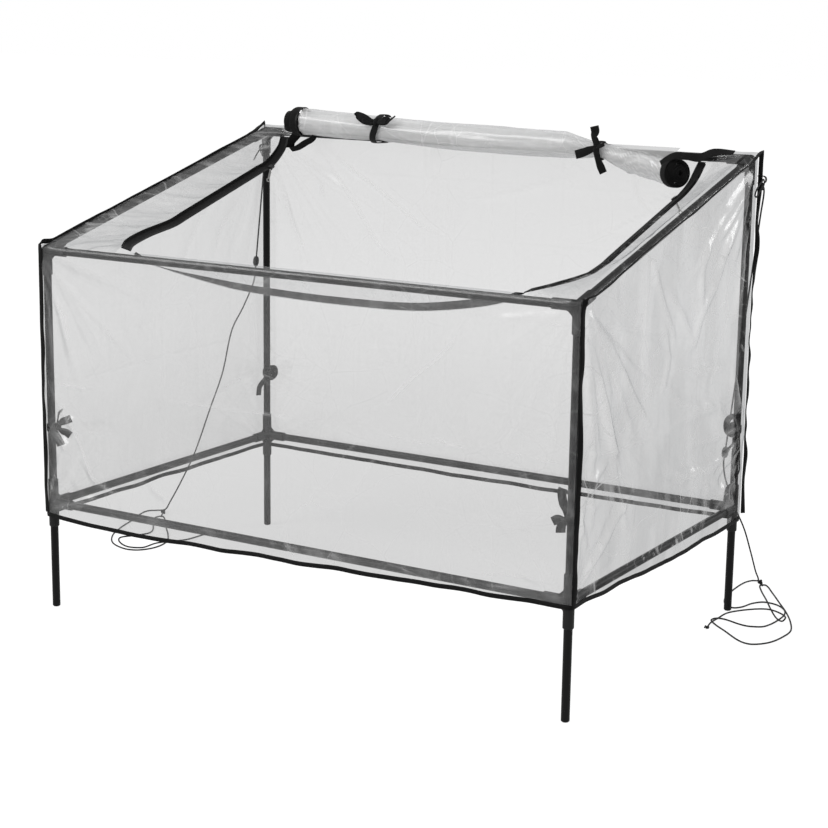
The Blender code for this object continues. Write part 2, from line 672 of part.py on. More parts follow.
def anchor_loop(name, x_sign, adds):
    """A webbing loop on the back seam, which the guy rope is tied through."""
    root, outward = anchor_root(x_sign), Vector((x_sign, 0, 0))
    rise = ANCHOR_HEIGHT / 2
    path = [
        (0.0, rise), (0.6, rise), (0.9, rise * 0.6), (1.0, 0.0), (0.9, -rise * 0.6), (0.6, -rise), (0.0, -rise),
    ]
    line = [root + outward * ANCHOR_LENGTH * share + Vector((0, 0, height)) for share, height in path]
    ribbon(name, line, [Vector((0, 1, 0))] * len(line), ANCHOR_WIDTH, ANCHOR_THICKNESS, None, adds)


def seam_bindings():
    """The bound seam of each side panel: up the front, along the roof edge and down the back."""
    for side, x_sign in SIDES.items():
        x = x_sign * COVER_X
        hem_front = hem_z("front", 0.0 if side == "left" else 1.0)
        hem_back = hem_z("back", 1.0 if side == "left" else 0.0)
        lift = HEM_HEIGHT / 2 + SEAM_GAP
        front_low, back_low = hem_front + lift, hem_back + lift
        front_top, back_top = cover_roof_z(-COVER_Y), cover_roof_z(COVER_Y)
        corners = [(-COVER_Y, front_low), (-COVER_Y, front_top), (COVER_Y, back_top), (COVER_Y, back_low)]
        sideways = [(-1, 0), (-1, 1), (1, 1), (1, 0)]
        stretches = (4, 6, 4)
        line, across = [], []
        for k, count in enumerate(stretches):
            (y0, z0), (y1, z1) = corners[k], corners[k + 1]
            for step in range(count):
                share = step / count
                line.append(Vector((x, y0 + (y1 - y0) * share, z0 + (z1 - z0) * share)))
                if step == 0:
                    across.append(Vector((x_sign, *sideways[k])))
                else:
                    across.append(Vector(((x_sign, -1, 0), (x_sign, 0, 1), (x_sign, 1, 0))[k]))
        line.append(Vector((x, COVER_Y, back_low)))
        across.append(Vector((x_sign, 1, 0)))
        middle = SEAM_GAP + FILM_THICKNESS / 2 + BINDING_WIDTH / 2
        centre_line = [point + side_way.normalized() * middle for point, side_way in zip(line, across)]
        name = f"seam_binding_{side}"
        band = ribbon(name, centre_line, across, BINDING_WIDTH, BINDING_THICKNESS, "binding")
        adds = cutter_group(name + "_adds")
        anchor_loop(name + "_anchor", x_sign, adds)
        join_and_cut(band, adds)


def zip_point(side, place):
    """A point of a side's zip tape, from its place in the frame."""
    inset, share, shift, drop = place
    y = -HALF_Y + share * POST_SPACING_Y + shift
    return Vector((SIDES[side] * (HALF_X - inset), y, cover_roof_z(y) - drop))


def zip_line(side):
    if side == "left":
        bend, low, high, top = LEFT_ZIP_BEND, LEFT_ZIP_LOW, LEFT_ZIP_HIGH, LEFT_ZIP_TOP
    else:
        bend, low, high, top = RIGHT_ZIP_BEND, RIGHT_ZIP_LOW, RIGHT_ZIP_HIGH, RIGHT_ZIP_TOP
    low, high = zip_point(side, low), zip_point(side, high)
    straight = [low + (high - low) * k / 4 for k in range(5)]
    return [zip_point(side, p) for p in bend] + straight + [zip_point(side, p) for p in top]


def front_zip_line():
    points = []
    for share, shift, behind, rise in FRONT_ZIP_LINE:
        points.append(Vector((share * HALF_X + shift, -HALF_Y + behind, FRONT_Z + rise)))
    return points


def zip_across(side, line):
    """The tape's width direction, towards the opening and leaning down with the film."""
    x_sign = SIDES[side]
    lean = ZIP_LEAN[side]
    level = Vector((-x_sign * math.cos(lean), 0, -math.sin(lean)))
    directions = []
    for k in range(len(line)):
        before, after = line[max(k - 1, 0)], line[min(k + 1, len(line) - 1)]
        along = (after - before).normalized()
        directions.append((level - along * level.dot(along)).normalized())
    straight = (line[4] - line[3]).normalized()
    held = (level - straight * level.dot(straight)).normalized()
    for k in range(3, 8):
        directions[k] = held
    return directions


def zip_tapes():
    for side in SIDES:
        line = zip_line(side)
        name = f"zip_tape_{side}"
        ribbon(name, line, zip_across(side, line), ZIP_TAPE_WIDTH, ZIP_TAPE_THICKNESS, "binding")
    line = front_zip_line()
    ribbon("zip_tape_front", line, front_zip_across(line), ZIP_TAPE_WIDTH, ZIP_TAPE_THICKNESS, "binding")


def front_zip_across(line):
    level = Vector((0, math.cos(FRONT_ZIP_LEAN), -math.sin(FRONT_ZIP_LEAN)))
    directions = []
    for k in range(len(line)):
        along = (line[min(k + 1, len(line) - 1)] - line[max(k - 1, 0)]).normalized()
        directions.append((level - along * level.dot(along)).normalized())
    return directions


def hanging_span(start, end, sag, columns):
    """Points from one edge to the other of a slack strip, which hangs below the straight line."""
    points = []
    for k in range(columns + 1):
        share = k / columns
        point = start.lerp(end, share)
        point.z -= sag * 4 * share * (1 - share)
        points.append(point)
    return points


def roof_margins():
    """The strips of film between the frame and the zip tapes."""
    for side, x_sign in SIDES.items():
        line = zip_line(side)
        across = zip_across(side, line)
        half = ZIP_TAPE_WIDTH / 2 + ZIP_TAPE_GAP
        grid = []
        inset = SEAM_GAP + FILM_THICKNESS / 2
        rail_edge = x_sign * (HALF_X - TUBE_RADIUS)
        for point, side_way in zip(line, across):
            inner = point - side_way * half
            y = min(max(inner.y, -COVER_Y + inset), COVER_Y - inset)
            outer = Vector((x_sign * (COVER_X - inset), y, cover_roof_z(y)))
            crest = Vector((rail_edge, y, cover_roof_z(y)))
            slack = 0.010 * math.sin(math.pi * min(1.0, max(0.0, (y + COVER_Y) / (2 * COVER_Y))))
            grid.append([outer] + hanging_span(crest, inner, slack, 4))
        front_y = -COVER_Y + inset
        first = grid[0]
        front_row = [Vector((p.x, front_y, cover_roof_z(front_y))) for p in first]
        back_y = COVER_Y - inset
        last = grid[-1]
        back_row = [Vector((p.x, back_y, cover_roof_z(back_y))) for p in last]
        lap = RAIL_LAP / math.cos(MARGIN_LEAN / 2)
        before_rail = (HALF_Y - lap * math.sin(MARGIN_LEAN), BACK_Z + lap * math.cos(MARGIN_LEAN))
        heights = [cover_roof_z(before_rail[0])] * 2 + [max(p.z, before_rail[1]) for p in last[2:]]
        rise_row = [Vector((p.x, before_rail[0], height)) for p, height in zip(last, heights)]
        top_row = [Vector((p.x, HALF_Y, cover_roof_z(HALF_Y))) for p in last]
        sheet(f"roof_margin_{side}", [front_row] + grid + [rise_row, top_row, back_row], FILM_THICKNESS, "film")
    line = front_zip_line()
    across = front_zip_across(line)
    inset = SEAM_GAP + FILM_THICKNESS / 2
    half = ZIP_TAPE_WIDTH / 2 + ZIP_TAPE_GAP * 1.5
    grid = []
    for point, side_way in zip(line, across):
        inner = point - side_way * half
        front = Vector((inner.x, -COVER_Y + inset, cover_roof_z(-COVER_Y + inset)))
        over = Vector((inner.x, -HALF_Y, cover_roof_z(-HALF_Y) - 0.001))
        behind = Vector((inner.x, -HALF_Y + COVER_OFFSET, FRONT_Z + TUBE_RADIUS * 0.9))
        grid.append([front, over, behind.lerp(inner, 0.0), behind.lerp(inner, 0.5), inner])
    sheet("roof_margin_front", grid, FILM_THICKNESS, "film")


def zip_slider_frame(side):
    """Where a slider stands at rest: on the tape's inner edge, at the top of the straight stretch."""
    line = zip_line(side)
    across = zip_across(side, line)[4]
    low, high = line[3], line[7]
    travel = (low - high).normalized()
    start = high + travel * (SLIDER_LENGTH / 2 + 0.004)
    up = across.cross(travel)
    if up.z < 0:
        up = -up
    edge = ZIP_TAPE_WIDTH / 2 - SLIDER_OVERLAP + SLIDER_WIDTH / 2
    return axes_at(start + across * edge, across, up), travel


def zip_sliders():
    for side in SIDES:
        name = f"zip_slider_{side}"
        adds = cutter_group(name + "_adds")
        cuts = cutter_group(name + "_cuts")
        frame, _ = zip_slider_frame(side)
        body = block(name, (SLIDER_WIDTH, SLIDER_LENGTH, SLIDER_DEPTH), "zip", frame)
        bevel = body.modifiers.new("Edges", "BEVEL")
        bevel.width = SLIDER_BEVEL
        bevel.segments = 1
        bevel.limit_method = "ANGLE"
        for sign in (-1, 1):
            x = sign * (EAR_GAP + EAR_SIZE[0]) / 2
            z = -SLIDER_DEPTH / 2 - EAR_SIZE[2] / 2 + 0.0006
            block(f"{name}_ear_{sign}", EAR_SIZE, None, frame @ Matrix.Translation((x, 0, z)), adds)
        pin = frame @ Matrix.Translation((0, 0, -PULL_PIN_DROP)) @ Matrix.Rotation(math.pi / 2, 4, "Y")
        cylinder(f"{name}_pin", PULL_PIN_DIAMETER / 2, EAR_GAP + EAR_SIZE[0], 12, None, pin, adds)
        slot_depth = SLIDER_OVERLAP + ZIP_TAPE_GAP + 0.004
        slot_x = -SLIDER_WIDTH / 2 - 0.004 + slot_depth / 2
        slot = frame @ Matrix.Translation((slot_x, 0, 0))
        block(f"{name}_slot", (slot_depth, SLIDER_LENGTH * 2, SLIDER_SLOT), None, slot, cuts)
        join_and_cut(body, adds, cuts)


def zip_pulls():
    """Each pull hangs straight down from its slider's pin."""
    for side in SIDES:
        name = f"zip_pull_{side}"
        adds = cutter_group(name + "_adds")
        cuts = cutter_group(name + "_cuts")
        slider, _ = zip_slider_frame(side)
        axis = slider.to_3x3() @ Vector((1, 0, 0))
        pin = slider @ Vector((0, 0, -PULL_PIN_DROP))
        frame = axes_at(pin, axis, (0, 0, 1))
        eye_bore = PULL_PIN_DIAMETER / 2 + PULL_EYE_GAP
        eye_radius = eye_bore + PULL_EYE_WALL
        along_x = Matrix.Rotation(math.pi / 2, 4, "Y")
        along_y = Matrix.Rotation(math.pi / 2, 4, "X")
        width = EAR_GAP - 2 * PULL_EYE_GAP
        body = cylinder(name, eye_radius, width, 12, "pull", frame @ along_x)
        neck = 0.006
        drop = frame @ Matrix.Translation((0, 0, -neck / 2))
        block(f"{name}_neck", (width, PULL_THICKNESS, neck), None, drop, adds)
        length = PULL_LENGTH - neck
        low = Matrix.Translation((0, 0, -neck - length / 2 + 0.0005))
        block(f"{name}_tab", (PULL_WIDTH, PULL_THICKNESS, length), None, frame @ low, adds)
        ring = frame @ Matrix.Translation((0, 0, -PULL_LENGTH)) @ along_y
        cylinder(f"{name}_ring", PULL_RING_DIAMETER / 2, PULL_THICKNESS * 1.3, 16, None, ring, adds)
        cylinder(f"{name}_hole", PULL_RING_HOLE / 2, PULL_THICKNESS * 4, 16, None, ring, cuts)
        cylinder(f"{name}_eye", eye_bore, width * 2, 12, None, frame @ along_x, cuts)
        join_and_cut(body, adds, cuts)


def roll_centre(z):
    """The roll leans on the front of the back rail, and below it hangs free."""
    rise = z - BACK_Z
    reach = max(math.sqrt(max(ROLL_SEAT**2 - rise**2, 0.0)), ROLL_REACH)
    return HALF_Y - reach


def roll_start(z):
    """Angle, seen from the right, where the film runs onto the roll."""
    low = min(1.0, max(0.0, (BACK_Z + 0.012 - z) / ROLL_LOW_DROP))
    return ROLL_TAIL_HIGH + (ROLL_TAIL_LOW - ROLL_TAIL_HIGH) * low, low


def coil_points(centre_y, centre_z, start, outer, inner, turns, per_turn):
    points = []
    count = round(turns * per_turn)
    for k in range(count + 1):
        angle = start + math.tau * k / per_turn
        radius = outer + (inner - outer) * k / count
        points.append((centre_y + radius * math.cos(angle), centre_z + radius * math.sin(angle)))
    return points


def roll_tail(low):
    """The film from the back edge over the rail, up to where it meets the roll."""
    lean = math.radians(15 + 40 * low)
    return [
        (COVER_Y - SEAM_GAP - FILM_THICKNESS / 2, cover_roof_z(COVER_Y)),
        (HALF_Y, BACK_Z + RAIL_LAP),
        (HALF_Y - RAIL_LAP * math.sin(lean), BACK_Z + RAIL_LAP * math.cos(lean)),
    ]


def door_roll():
    """The rolled door: film from the back edge over the rail, then wound inwards."""
    grid = []
    for x, z, outer in ROLL_LINE:
        y = roll_centre(z)
        start, low = roll_start(z)
        inner = outer * (1 - ROLL_PITCH_SHARE * ROLL_TURNS)
        wound = coil_points(y, z, start, outer, inner, ROLL_TURNS, ROLL_POINTS)
        grid.append([Vector((x, a, b)) for a, b in roll_tail(low) + wound])
    sheet("door_roll", grid, FILM_THICKNESS, "film")


def door_tapes():
    """The door's half of each zip tape, wound up with the film at the roll's two ends."""
    for side, x_sign in SIDES.items():
        x, z, outer = ROLL_LINE[0] if side == "left" else ROLL_LINE[-1]
        y = roll_centre(z)
        start, _ = roll_start(z)
        turns = TAPE_COIL_TURNS[side]
        section = coil_points(y, z, start, outer, TAPE_COIL_CORE, turns, TAPE_COIL_POINTS)
        near, far = [], []
        for k, (a, b) in enumerate(section):
            drift = TAPE_COIL_DRIFT[side] * k / (len(section) - 1)
            inner_edge = x + x_sign * (COIL_GAP + drift)
            near.append(Vector((inner_edge, a, b)))
            far.append(Vector((inner_edge + x_sign * ZIP_TAPE_WIDTH, a, b)))
        sheet(f"door_tape_{side}", [near, far], TAPE_COIL_THICKNESS, "binding")


def tie_tail(name, start, direction, bend, across, length, adds):
    """A short free end of ribbon that bends as it goes."""
    start, direction, bend = Vector(start), Vector(direction).normalized(), Vector(bend)
    line = []
    for k in range(TIE_TAIL_POINTS):
        share = k / (TIE_TAIL_POINTS - 1)
        line.append(start + direction * length * share + bend * share**2)
    ribbon(name, line, [across] * TIE_TAIL_POINTS, TIE_WIDTH, TIE_THICKNESS, None, adds)


def beside(points, distance):
    """A bent line moved to its right by the distance, with mitred corners."""
    moved = []
    for before, point, after in zip(points, points[1:], points[2:]):
        first = (Vector(point) - Vector(before)).normalized()
        second = (Vector(after) - Vector(point)).normalized()
        aside = Vector((first.y + second.y, -first.x - second.x)).normalized()
        reach = distance / max(0.5, aside.dot(Vector((first.y, -first.x))))
        moved.append((point[0] + aside.x * reach, point[1] + aside.y * reach))
    return moved


def upper_ties():
    """Ribbons from the back edge that run round the rolled door and the rail."""
    layer = (FILM_THICKNESS + TIE_THICKNESS) / 2 + TIE_GAP
    rail_radius = TUBE_RADIUS + TIE_GAP + TIE_THICKNESS / 2
    for side, share in UPPER_TIE_SHARE.items():
        x = share * HALF_X
        z = share_of([(station[0], station[1]) for station in ROLL_LINE], x)
        outer = share_of([(station[0], station[2]) for station in ROLL_LINE], x)
        y = roll_centre(z)
        start, low = roll_start(z)
        radius = (outer + layer + UPPER_TIE_SLACK) / math.cos(math.pi / UPPER_TIE_POINTS)
        reach = math.hypot(HALF_Y - y, BACK_Z - z)
        towards = math.atan2(BACK_Z - z, HALF_Y - y)
        leave = math.tau + towards - math.acos((radius - rail_radius) / reach)
        first = start + math.radians(14)
        wound = coil_points(y, z, start, outer, outer, 1, ROLL_POINTS)
        section = beside(roll_tail(low) + wound[:2], layer + UPPER_TIE_SLACK)
        for k in range(UPPER_TIE_POINTS + 1):
            angle = first + (leave - first) * k / UPPER_TIE_POINTS
            section.append((y + radius * math.cos(angle), z + radius * math.sin(angle)))
        for k in range(5):
            angle = leave + (math.tau + math.radians(20) - leave) * k / 4
            section.append((HALF_Y + rail_radius * math.cos(angle), BACK_Z + rail_radius * math.sin(angle)))
        line = [Vector((x, a, b)) for a, b in section]
        name = f"roll_tie_{side}"
        band = ribbon(name, line, [Vector((1, 0, 0))] * len(line), TIE_WIDTH, TIE_THICKNESS, "binding")
        adds = cutter_group(name + "_adds")
        knot_angle = math.radians(150)
        out = Vector((0, math.cos(knot_angle), math.sin(knot_angle)))
        knot = Vector((x, y, z)) + out * (radius + KNOT_SIZE[2] * KNOT_REACH)
        ball(f"{name}_knot", KNOT_SIZE, None, axes_at(knot, (1, 0, 0), out), adds, KNOT_STEPS)
        forward = Vector((0, -math.sin(knot_angle), math.cos(knot_angle)))
        tie_tail(f"{name}_end_0", knot, (-0.4, -0.5, 0.8), (-0.006, -0.004, 0.0), forward, TIE_TAIL * 0.7, adds)
        level = out.cross((1, 0, 0))
        tie_tail(f"{name}_end_1", knot, (0.5, -0.5, -0.5), (0.004, 0.0, -0.010), level, TIE_TAIL, adds)
        join_and_cut(band, adds)


def lower_ties():
    """Ribbons inside the cover, tied round each post."""
    for row, y_sign in ROWS.items():
        for side, x_sign in SIDES.items():
            x, y, z = x_sign * HALF_X, y_sign * HALF_Y, LEG_LENGTH + TIE_HEIGHT
            radius = TUBE_RADIUS + TIE_GAP + TIE_THICKNESS / 2
            line = []
            for k in range(LOWER_TIE_POINTS):
                angle = math.tau * k / LOWER_TIE_POINTS
                line.append(Vector((x + radius * math.cos(angle), y + radius * math.sin(angle), z)))
            step = Vector((0, 0, TIE_WIDTH / 2))
            name = f"post_tie_{row}_{side}"
            edges = [[p - step for p in line], [p + step for p in line]]
            band = sheet(name, edges, TIE_THICKNESS, "binding", ring=True)
            adds = cutter_group(name + "_adds")
            inward = Vector((-x_sign, -y_sign, 0)).normalized()
            knot = Vector((x, y, z)) + inward * (radius + KNOT_SIZE[2] * KNOT_REACH)
            ball(f"{name}_knot", KNOT_SIZE, None, axes_at(knot, inward.cross((0, 0, 1)), inward), adds, KNOT_STEPS)
            level = inward.cross(Vector((0, 0, 1)))
            upward = inward + Vector((0, 0, 1.2))
            tie_tail(f"{name}_end_0", knot, upward, inward * 0.008, level, TIE_TAIL * 0.8, adds)
            downward = inward + Vector((0, 0, -1.0))
            tie_tail(f"{name}_end_1", knot, downward, inward * -0.003, level, TIE_TAIL, adds)
            join_and_cut(band, adds)


def smooth_route(points, count):
    """Evenly spaced points on a smooth curve through a route."""
    points = [Vector(p) for p in points]
    padded = [points[0] * 2 - points[1]] + points + [points[-1] * 2 - points[-2]]
    fine = []
    for k in range(1, len(padded) - 2):
        p0, p1, p2, p3 = padded[k - 1 : k + 3]
        first = (p2 - p0) / ((p1 - p0).length + (p2 - p1).length) * (p2 - p1).length
        second = (p3 - p1) / ((p2 - p1).length + (p3 - p2).length) * (p2 - p1).length
        for step in range(16):
            t = step / 16
            fine.append(
                p1 * (2 * t**3 - 3 * t**2 + 1)
                + first * (t**3 - 2 * t**2 + t)
                + p2 * (3 * t**2 - 2 * t**3)
                + second * (t**3 - t**2)
            )
    fine.append(points[-1])
    lengths = [0.0]
    for a, b in zip(fine, fine[1:]):
        lengths.append(lengths[-1] + (b - a).length)
    result, k = [], 0
    for step in range(count):
        goal = lengths[-1] * step / (count - 1)
        while k < len(fine) - 2 and lengths[k + 1] < goal:
            k += 1
        share = (goal - lengths[k]) / max(lengths[k + 1] - lengths[k], 1e-9)
        result.append(fine[k].lerp(fine[k + 1], min(1.0, share)))
    return result, lengths[-1]


def least_gap(points, diameter):
    """Least clear distance between stretches of a cord that aren't next to each other."""
    least = math.inf
    spans = list(zip(points, points[1:]))
    skip = 3
    for i in range(len(spans)):
        for j in range(i + skip, len(spans)):
            least = min(least, span_distance(*spans[i], *spans[j]))
    return least - diameter


def span_distance(a, b, c, d):
    """Distance between two straight spans, by points on the first and the nearest on the second."""
    best = math.inf
    for start, end, other_start, other_end in ((a, b, c, d), (c, d, a, b)):
        for step in range(13):
            point = start.lerp(end, step / 12)
            along = other_end - other_start
            share = min(1.0, max(0.0, (point - other_start).dot(along) / max(along.length_squared, 1e-12)))
            best = min(best, (point - other_start - along * share).length)
    return best


def rope_start(side):
    """Just under the loop on the back seam."""
    x_sign = SIDES[side]
    drop = ANCHOR_HEIGHT / 2 + ANCHOR_THICKNESS / 2 + ROPE_GAP
    return anchor_root(x_sign) + Vector((x_sign * ANCHOR_LENGTH * 0.5, 0, -drop))


def rope_route(side):
    start = rope_start(side)
    post_x, post_y = SIDES[side] * HALF_X, HALF_Y
    if side == "left":
        place, hanging_places, lying_places = LEFT_TOGGLE, LEFT_ROPE_HANGING, LEFT_ROPE_LYING
    else:
        place, hanging_places, lying_places = RIGHT_TOGGLE, RIGHT_ROPE_HANGING, RIGHT_ROPE_LYING
    toggle = Vector((post_x + place[0], post_y + place[1], place[2] * BACK_Z))
    rest = [Vector((post_x + a, post_y + b, share * BACK_Z)) for a, b, share in hanging_places]
    rest += [Vector((post_x + a, post_y + b, height)) for a, b, height in lying_places]
    turn = start + Vector(ROPE_TURN)
    high = toggle + (turn - toggle) * 0.92
    hanging = [start, turn]
    straight = [high + (toggle - high) * k / 4 for k in range(5)]
    beyond = toggle + (toggle - high).normalized() * TOGGLE_LENGTH
    return hanging + straight + [beyond] + rest, straight[0], toggle


def guy_ropes():
    """Each rope hangs from the back corner and lies on the ground in loose loops."""
    for side in SIDES:
        name = f"guy_rope_{side}"
        route, _, _ = rope_route(side)
        points, length = smooth_route(route, ROPE_POINTS)
        for point in points:
            point.z = max(point.z, ROPE_RADIUS)
        curve = bpy.data.curves.new(name, "CURVE")
        curve.dimensions = "3D"
        curve.bevel_depth = ROPE_RADIUS
        curve.bevel_resolution = ROPE_SIDES
        curve.resolution_u = 1
        curve.use_fill_caps = True
        spline = curve.splines.new("POLY")
        spline.points.add(len(points) - 1)
        for target, point in zip(spline.points, points):
            target.co = (*point, 1.0)
        rope = bpy.data.objects.new(name, curve)
        curve.materials.append(material("rope", name))
        PARTS.objects.link(rope)
        gap = least_gap(points, ROPE_DIAMETER)
        print(f"{name}: {length:.3f} m long, least gap to itself {gap * 1000:.2f} mm")


def toggles():
    """Barrels that slide on the straight stretch of each rope."""
    for side in SIDES:
        _, high, toggle = rope_route(side)
        bore = (ROPE_RADIUS + TOGGLE_GAP) / math.cos(math.pi / 12)
        end, belly = TOGGLE_END_DIAMETER / 2, TOGGLE_DIAMETER / 2
        length = TOGGLE_LENGTH
        profile = [
            (bore, 0.0), (bore, length), (end, length), (belly, length * 0.70), (belly, length * 0.30), (end, 0.0),
        ]
        along = (high - toggle).normalized()
        start = toggle - along * length / 2
        turned(f"rope_toggle_{side}", profile, True, 12, aim(start, along), "fitting")


def build():
    legs_and_posts()
    rails()
    fittings()
    cover_walls()
    hem_binding()
    seam_bindings()
    zip_tapes()
    roof_margins()
    door_roll()
    door_tapes()
    zip_sliders()
    zip_pulls()
    upper_ties()
    lower_ties()
    guy_ropes()
    toggles()


clear_scene()
PARTS = make_collection("raised_bed_greenhouse")
CUTTERS = make_collection("cutters")
build()
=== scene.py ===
"""Looks of the raised bed greenhouse: clear film cover on a black push-fit tube frame. Metres, Z up. The tables hold
flat rows of numbers in millimetres, unless a comment says otherwise; grouped() turns them into points in metres."""

import math

import bpy
import numpy as np
from mathutils import Matrix, Vector, noise


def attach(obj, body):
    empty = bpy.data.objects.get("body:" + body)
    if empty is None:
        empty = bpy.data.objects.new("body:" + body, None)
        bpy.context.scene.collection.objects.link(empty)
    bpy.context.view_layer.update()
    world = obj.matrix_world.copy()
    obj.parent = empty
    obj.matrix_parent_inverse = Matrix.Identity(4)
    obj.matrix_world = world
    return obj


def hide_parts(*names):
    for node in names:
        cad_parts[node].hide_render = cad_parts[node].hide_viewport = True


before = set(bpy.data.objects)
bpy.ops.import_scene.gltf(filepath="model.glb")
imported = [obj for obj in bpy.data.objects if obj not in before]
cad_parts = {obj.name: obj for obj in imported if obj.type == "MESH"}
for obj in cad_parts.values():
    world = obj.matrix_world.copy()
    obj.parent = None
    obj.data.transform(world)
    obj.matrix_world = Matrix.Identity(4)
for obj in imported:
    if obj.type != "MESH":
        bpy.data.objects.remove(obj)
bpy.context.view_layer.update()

# Sizes of the frame and the cover. OFFSET is from a tube's centre line to the film.
HALF_X, HALF_Y = 0.590, 0.375
BASE_Z, FRONT_Z, BACK_Z = 0.222, 0.742, 0.937
SLOPE = (BACK_Z - FRONT_Z) / (2 * HALF_Y)
TUBE_R, OFFSET = 0.008, 0.0117
ROOF_OFFSET = OFFSET * math.sqrt(1 + SLOPE**2)
COVER_X, COVER_Y = HALF_X + OFFSET, HALF_Y + OFFSET
HEM_HEIGHT, BINDING_WIDTH = 0.009, 0.010
SEAM_GAP, FILM = 0.0005, 0.001
INSET = SEAM_GAP + FILM / 2
ON_RAIL = 0.0121  # from a rail's centre to the door's film
TAPE_WIDTH, TAPE_GAP, TAPE_STEP = 0.020, 0.0006, 0.0055
RIBBON_WIDTH, RIBBON_THICKNESS, AIR = 0.0155, 0.0010, 0.0006
RIBBON_R = TUBE_R + AIR + 0.0006
TIE_HEIGHT = 0.160
ROPE_D = 0.003
CONTACT = 0.16  # how much clearer film looks where it lies on a tube
SIDES = {"left": -1, "right": 1}
ROWS = {"front": -1, "back": 1}
PANELS = ("front", "right", "back", "left")

# The photograph's camera, in degrees, pixels and metres
AZIMUTH, TILT, LEAN = (math.radians(a) for a in (31.10, 12.40, 0.80))
PICTURE, FOCAL, SENSOR = 828.0, 1912.3, 36.0
EYE = Vector((1.998, -3.240, 1.251))
UP, ALONG = Vector((0, 0, 1)), (1, 0, 0)
VIEW_RIGHT = Vector((math.cos(AZIMUTH), math.sin(AZIMUTH), 0))
VIEW_BACK = Vector((0.5045, -0.8363, 0.2147))
UPRIGHT_SEEN = 0.977  # how long an upright step looks, against one square to the view

# The floor's and the world's tones behind film and in mirror images, and the world's light on the object
THROUGH_FILM, MIRRORED, WORLD_LIGHT = 0.67, 0.62, 0.55


def make_camera():
    ahead = Vector((-math.sin(AZIMUTH) * math.cos(TILT), math.cos(AZIMUTH) * math.cos(TILT), -math.sin(TILT)))
    level = ahead.cross(UP).normalized()
    up = level.cross(ahead)
    x_axis = level * math.cos(LEAN) + up * math.sin(LEAN)
    y_axis = up * math.cos(LEAN) - level * math.sin(LEAN)
    camera = bpy.data.objects.new("camera", bpy.data.cameras.new("camera"))
    camera.data.sensor_width = SENSOR
    camera.data.lens = FOCAL * SENSOR / PICTURE
    camera.data.clip_end = 100.0
    camera.matrix_world = Matrix.Translation(EYE) @ Matrix((x_axis, y_axis, -ahead)).transposed().to_4x4()
    bpy.context.scene.collection.objects.link(camera)
    bpy.context.scene.camera = camera


# ---------------------------------------------------------------- numbers and lines
def grouped(numbers, size, per=1000):
    """The numbers of a flat row in groups, divided by per."""
    return [tuple(n / per for n in numbers[k : k + size]) for k in range(0, len(numbers), size)]


def clipped(value):
    return max(0.0, min(1.0, value))


def smoothstep(low, high, value):
    t = np.clip((value - low) / (high - low), 0, 1)
    return t * t * (3 - 2 * t)


def closeness(distance, full, gone):
    """1 up to a distance of full, and 0 from gone on."""
    return 1 - smoothstep(full, gone, np.abs(distance))


def bell(value, middle, width):
    return math.exp(-(((value - middle) / width) ** 2))


def share_of(table, value):
    for (low, start), (high, end) in zip(table, table[1:]):
        if value <= high:
            return start + (end - start) * (value - low) / (high - low)
    return table[-1][1]


def wave(*place):
    return noise.noise(Vector(place))


def waves(line, scale, shift=(0, 0, 0)):
    return np.array([noise.noise(Vector(p) * scale + Vector(shift)) for p in line])


def field(points, scale, seed=0.0):
    """Smooth noise from -1 to 1 at each point."""
    return waves(points, scale, (seed * 7.31 + 0.13, seed * 3.17 - 0.71, seed * 1.93 + 0.37))


def patchy(points, scale, seed, gain, shift=0.0):
    """Patches from 0 to 1 with clear ground between them."""
    return np.clip(field(points, scale, seed) * gain + shift, 0, 1)


def unit(rows):
    return rows / np.linalg.norm(rows, axis=-1, keepdims=True)


def tangents(line, closed=False):
    return unit(np.roll(line, -1, 0) - np.roll(line, 1, 0) if closed else np.gradient(line, axis=0))


def squared(across, tangent):
    """Width directions made square to their line."""
    return unit(across - tangent * np.sum(across * tangent, 1)[:, None])


def steady_across(line):
    """A width direction that doesn't twist along a line."""
    tangent = tangents(line)
    result = [unit(np.cross(tangent[0], [0.3, 0.5, 0.81]))]
    for t in tangent[1:]:
        result.append(unit(result[-1] - t * (result[-1] @ t)))
    return np.array(result)


def distances(line):
    """How far along a line each of its points is."""
    return np.concatenate([[0.0], np.cumsum(np.linalg.norm(np.diff(line, axis=0), axis=1))])


def interpolated(goal, given, rows):
    return np.stack([np.interp(goal, given, rows[:, a]) for a in range(3)], 1)


SPLINE_STEPS = 16  # between two given points, before the even spacing


def spline(points, spacing=None, count=None, closed=False):
    """Evenly spaced points on a smooth curve through the given ones."""
    p = [Vector(q) for q in points]
    padded = [p[-1]] + p + [p[0], p[1]] if closed else [p[0] * 2 - p[1]] + p + [p[-1] * 2 - p[-2]]
    fine = []
    for k in range(1, len(padded) - 2):
        p0, p1, p2, p3 = padded[k - 1 : k + 3]
        span = (p2 - p1).length
        first = (p2 - p0) / ((p1 - p0).length + span) * span
        second = (p3 - p1) / (span + (p3 - p2).length) * span
        for step in range(SPLINE_STEPS):
            t = step / SPLINE_STEPS
            near = p1 * (2 * t**3 - 3 * t**2 + 1) + first * (t**3 - 2 * t**2 + t)
            fine.append(near + p2 * (3 * t**2 - 2 * t**3) + second * (t**3 - t**2))
    fine.append(p[0] if closed else p[-1])
    fine = np.array([tuple(q) for q in fine])
    run = distances(fine)
    if count is None:
        count = max(4, int(round(run[-1] / spacing)) + 1)
    result = interpolated(np.linspace(0, run[-1], count), run, fine)
    return result[:-1] if closed else result


def on_circle(count):
    """Cosine and sine at even steps round a circle."""
    return [(math.cos(math.tau * k / count), math.sin(math.tau * k / count)) for k in range(count)]


def round_profile(radius, sides):
    return [(radius * a, radius * b) for a, b in on_circle(sides)]


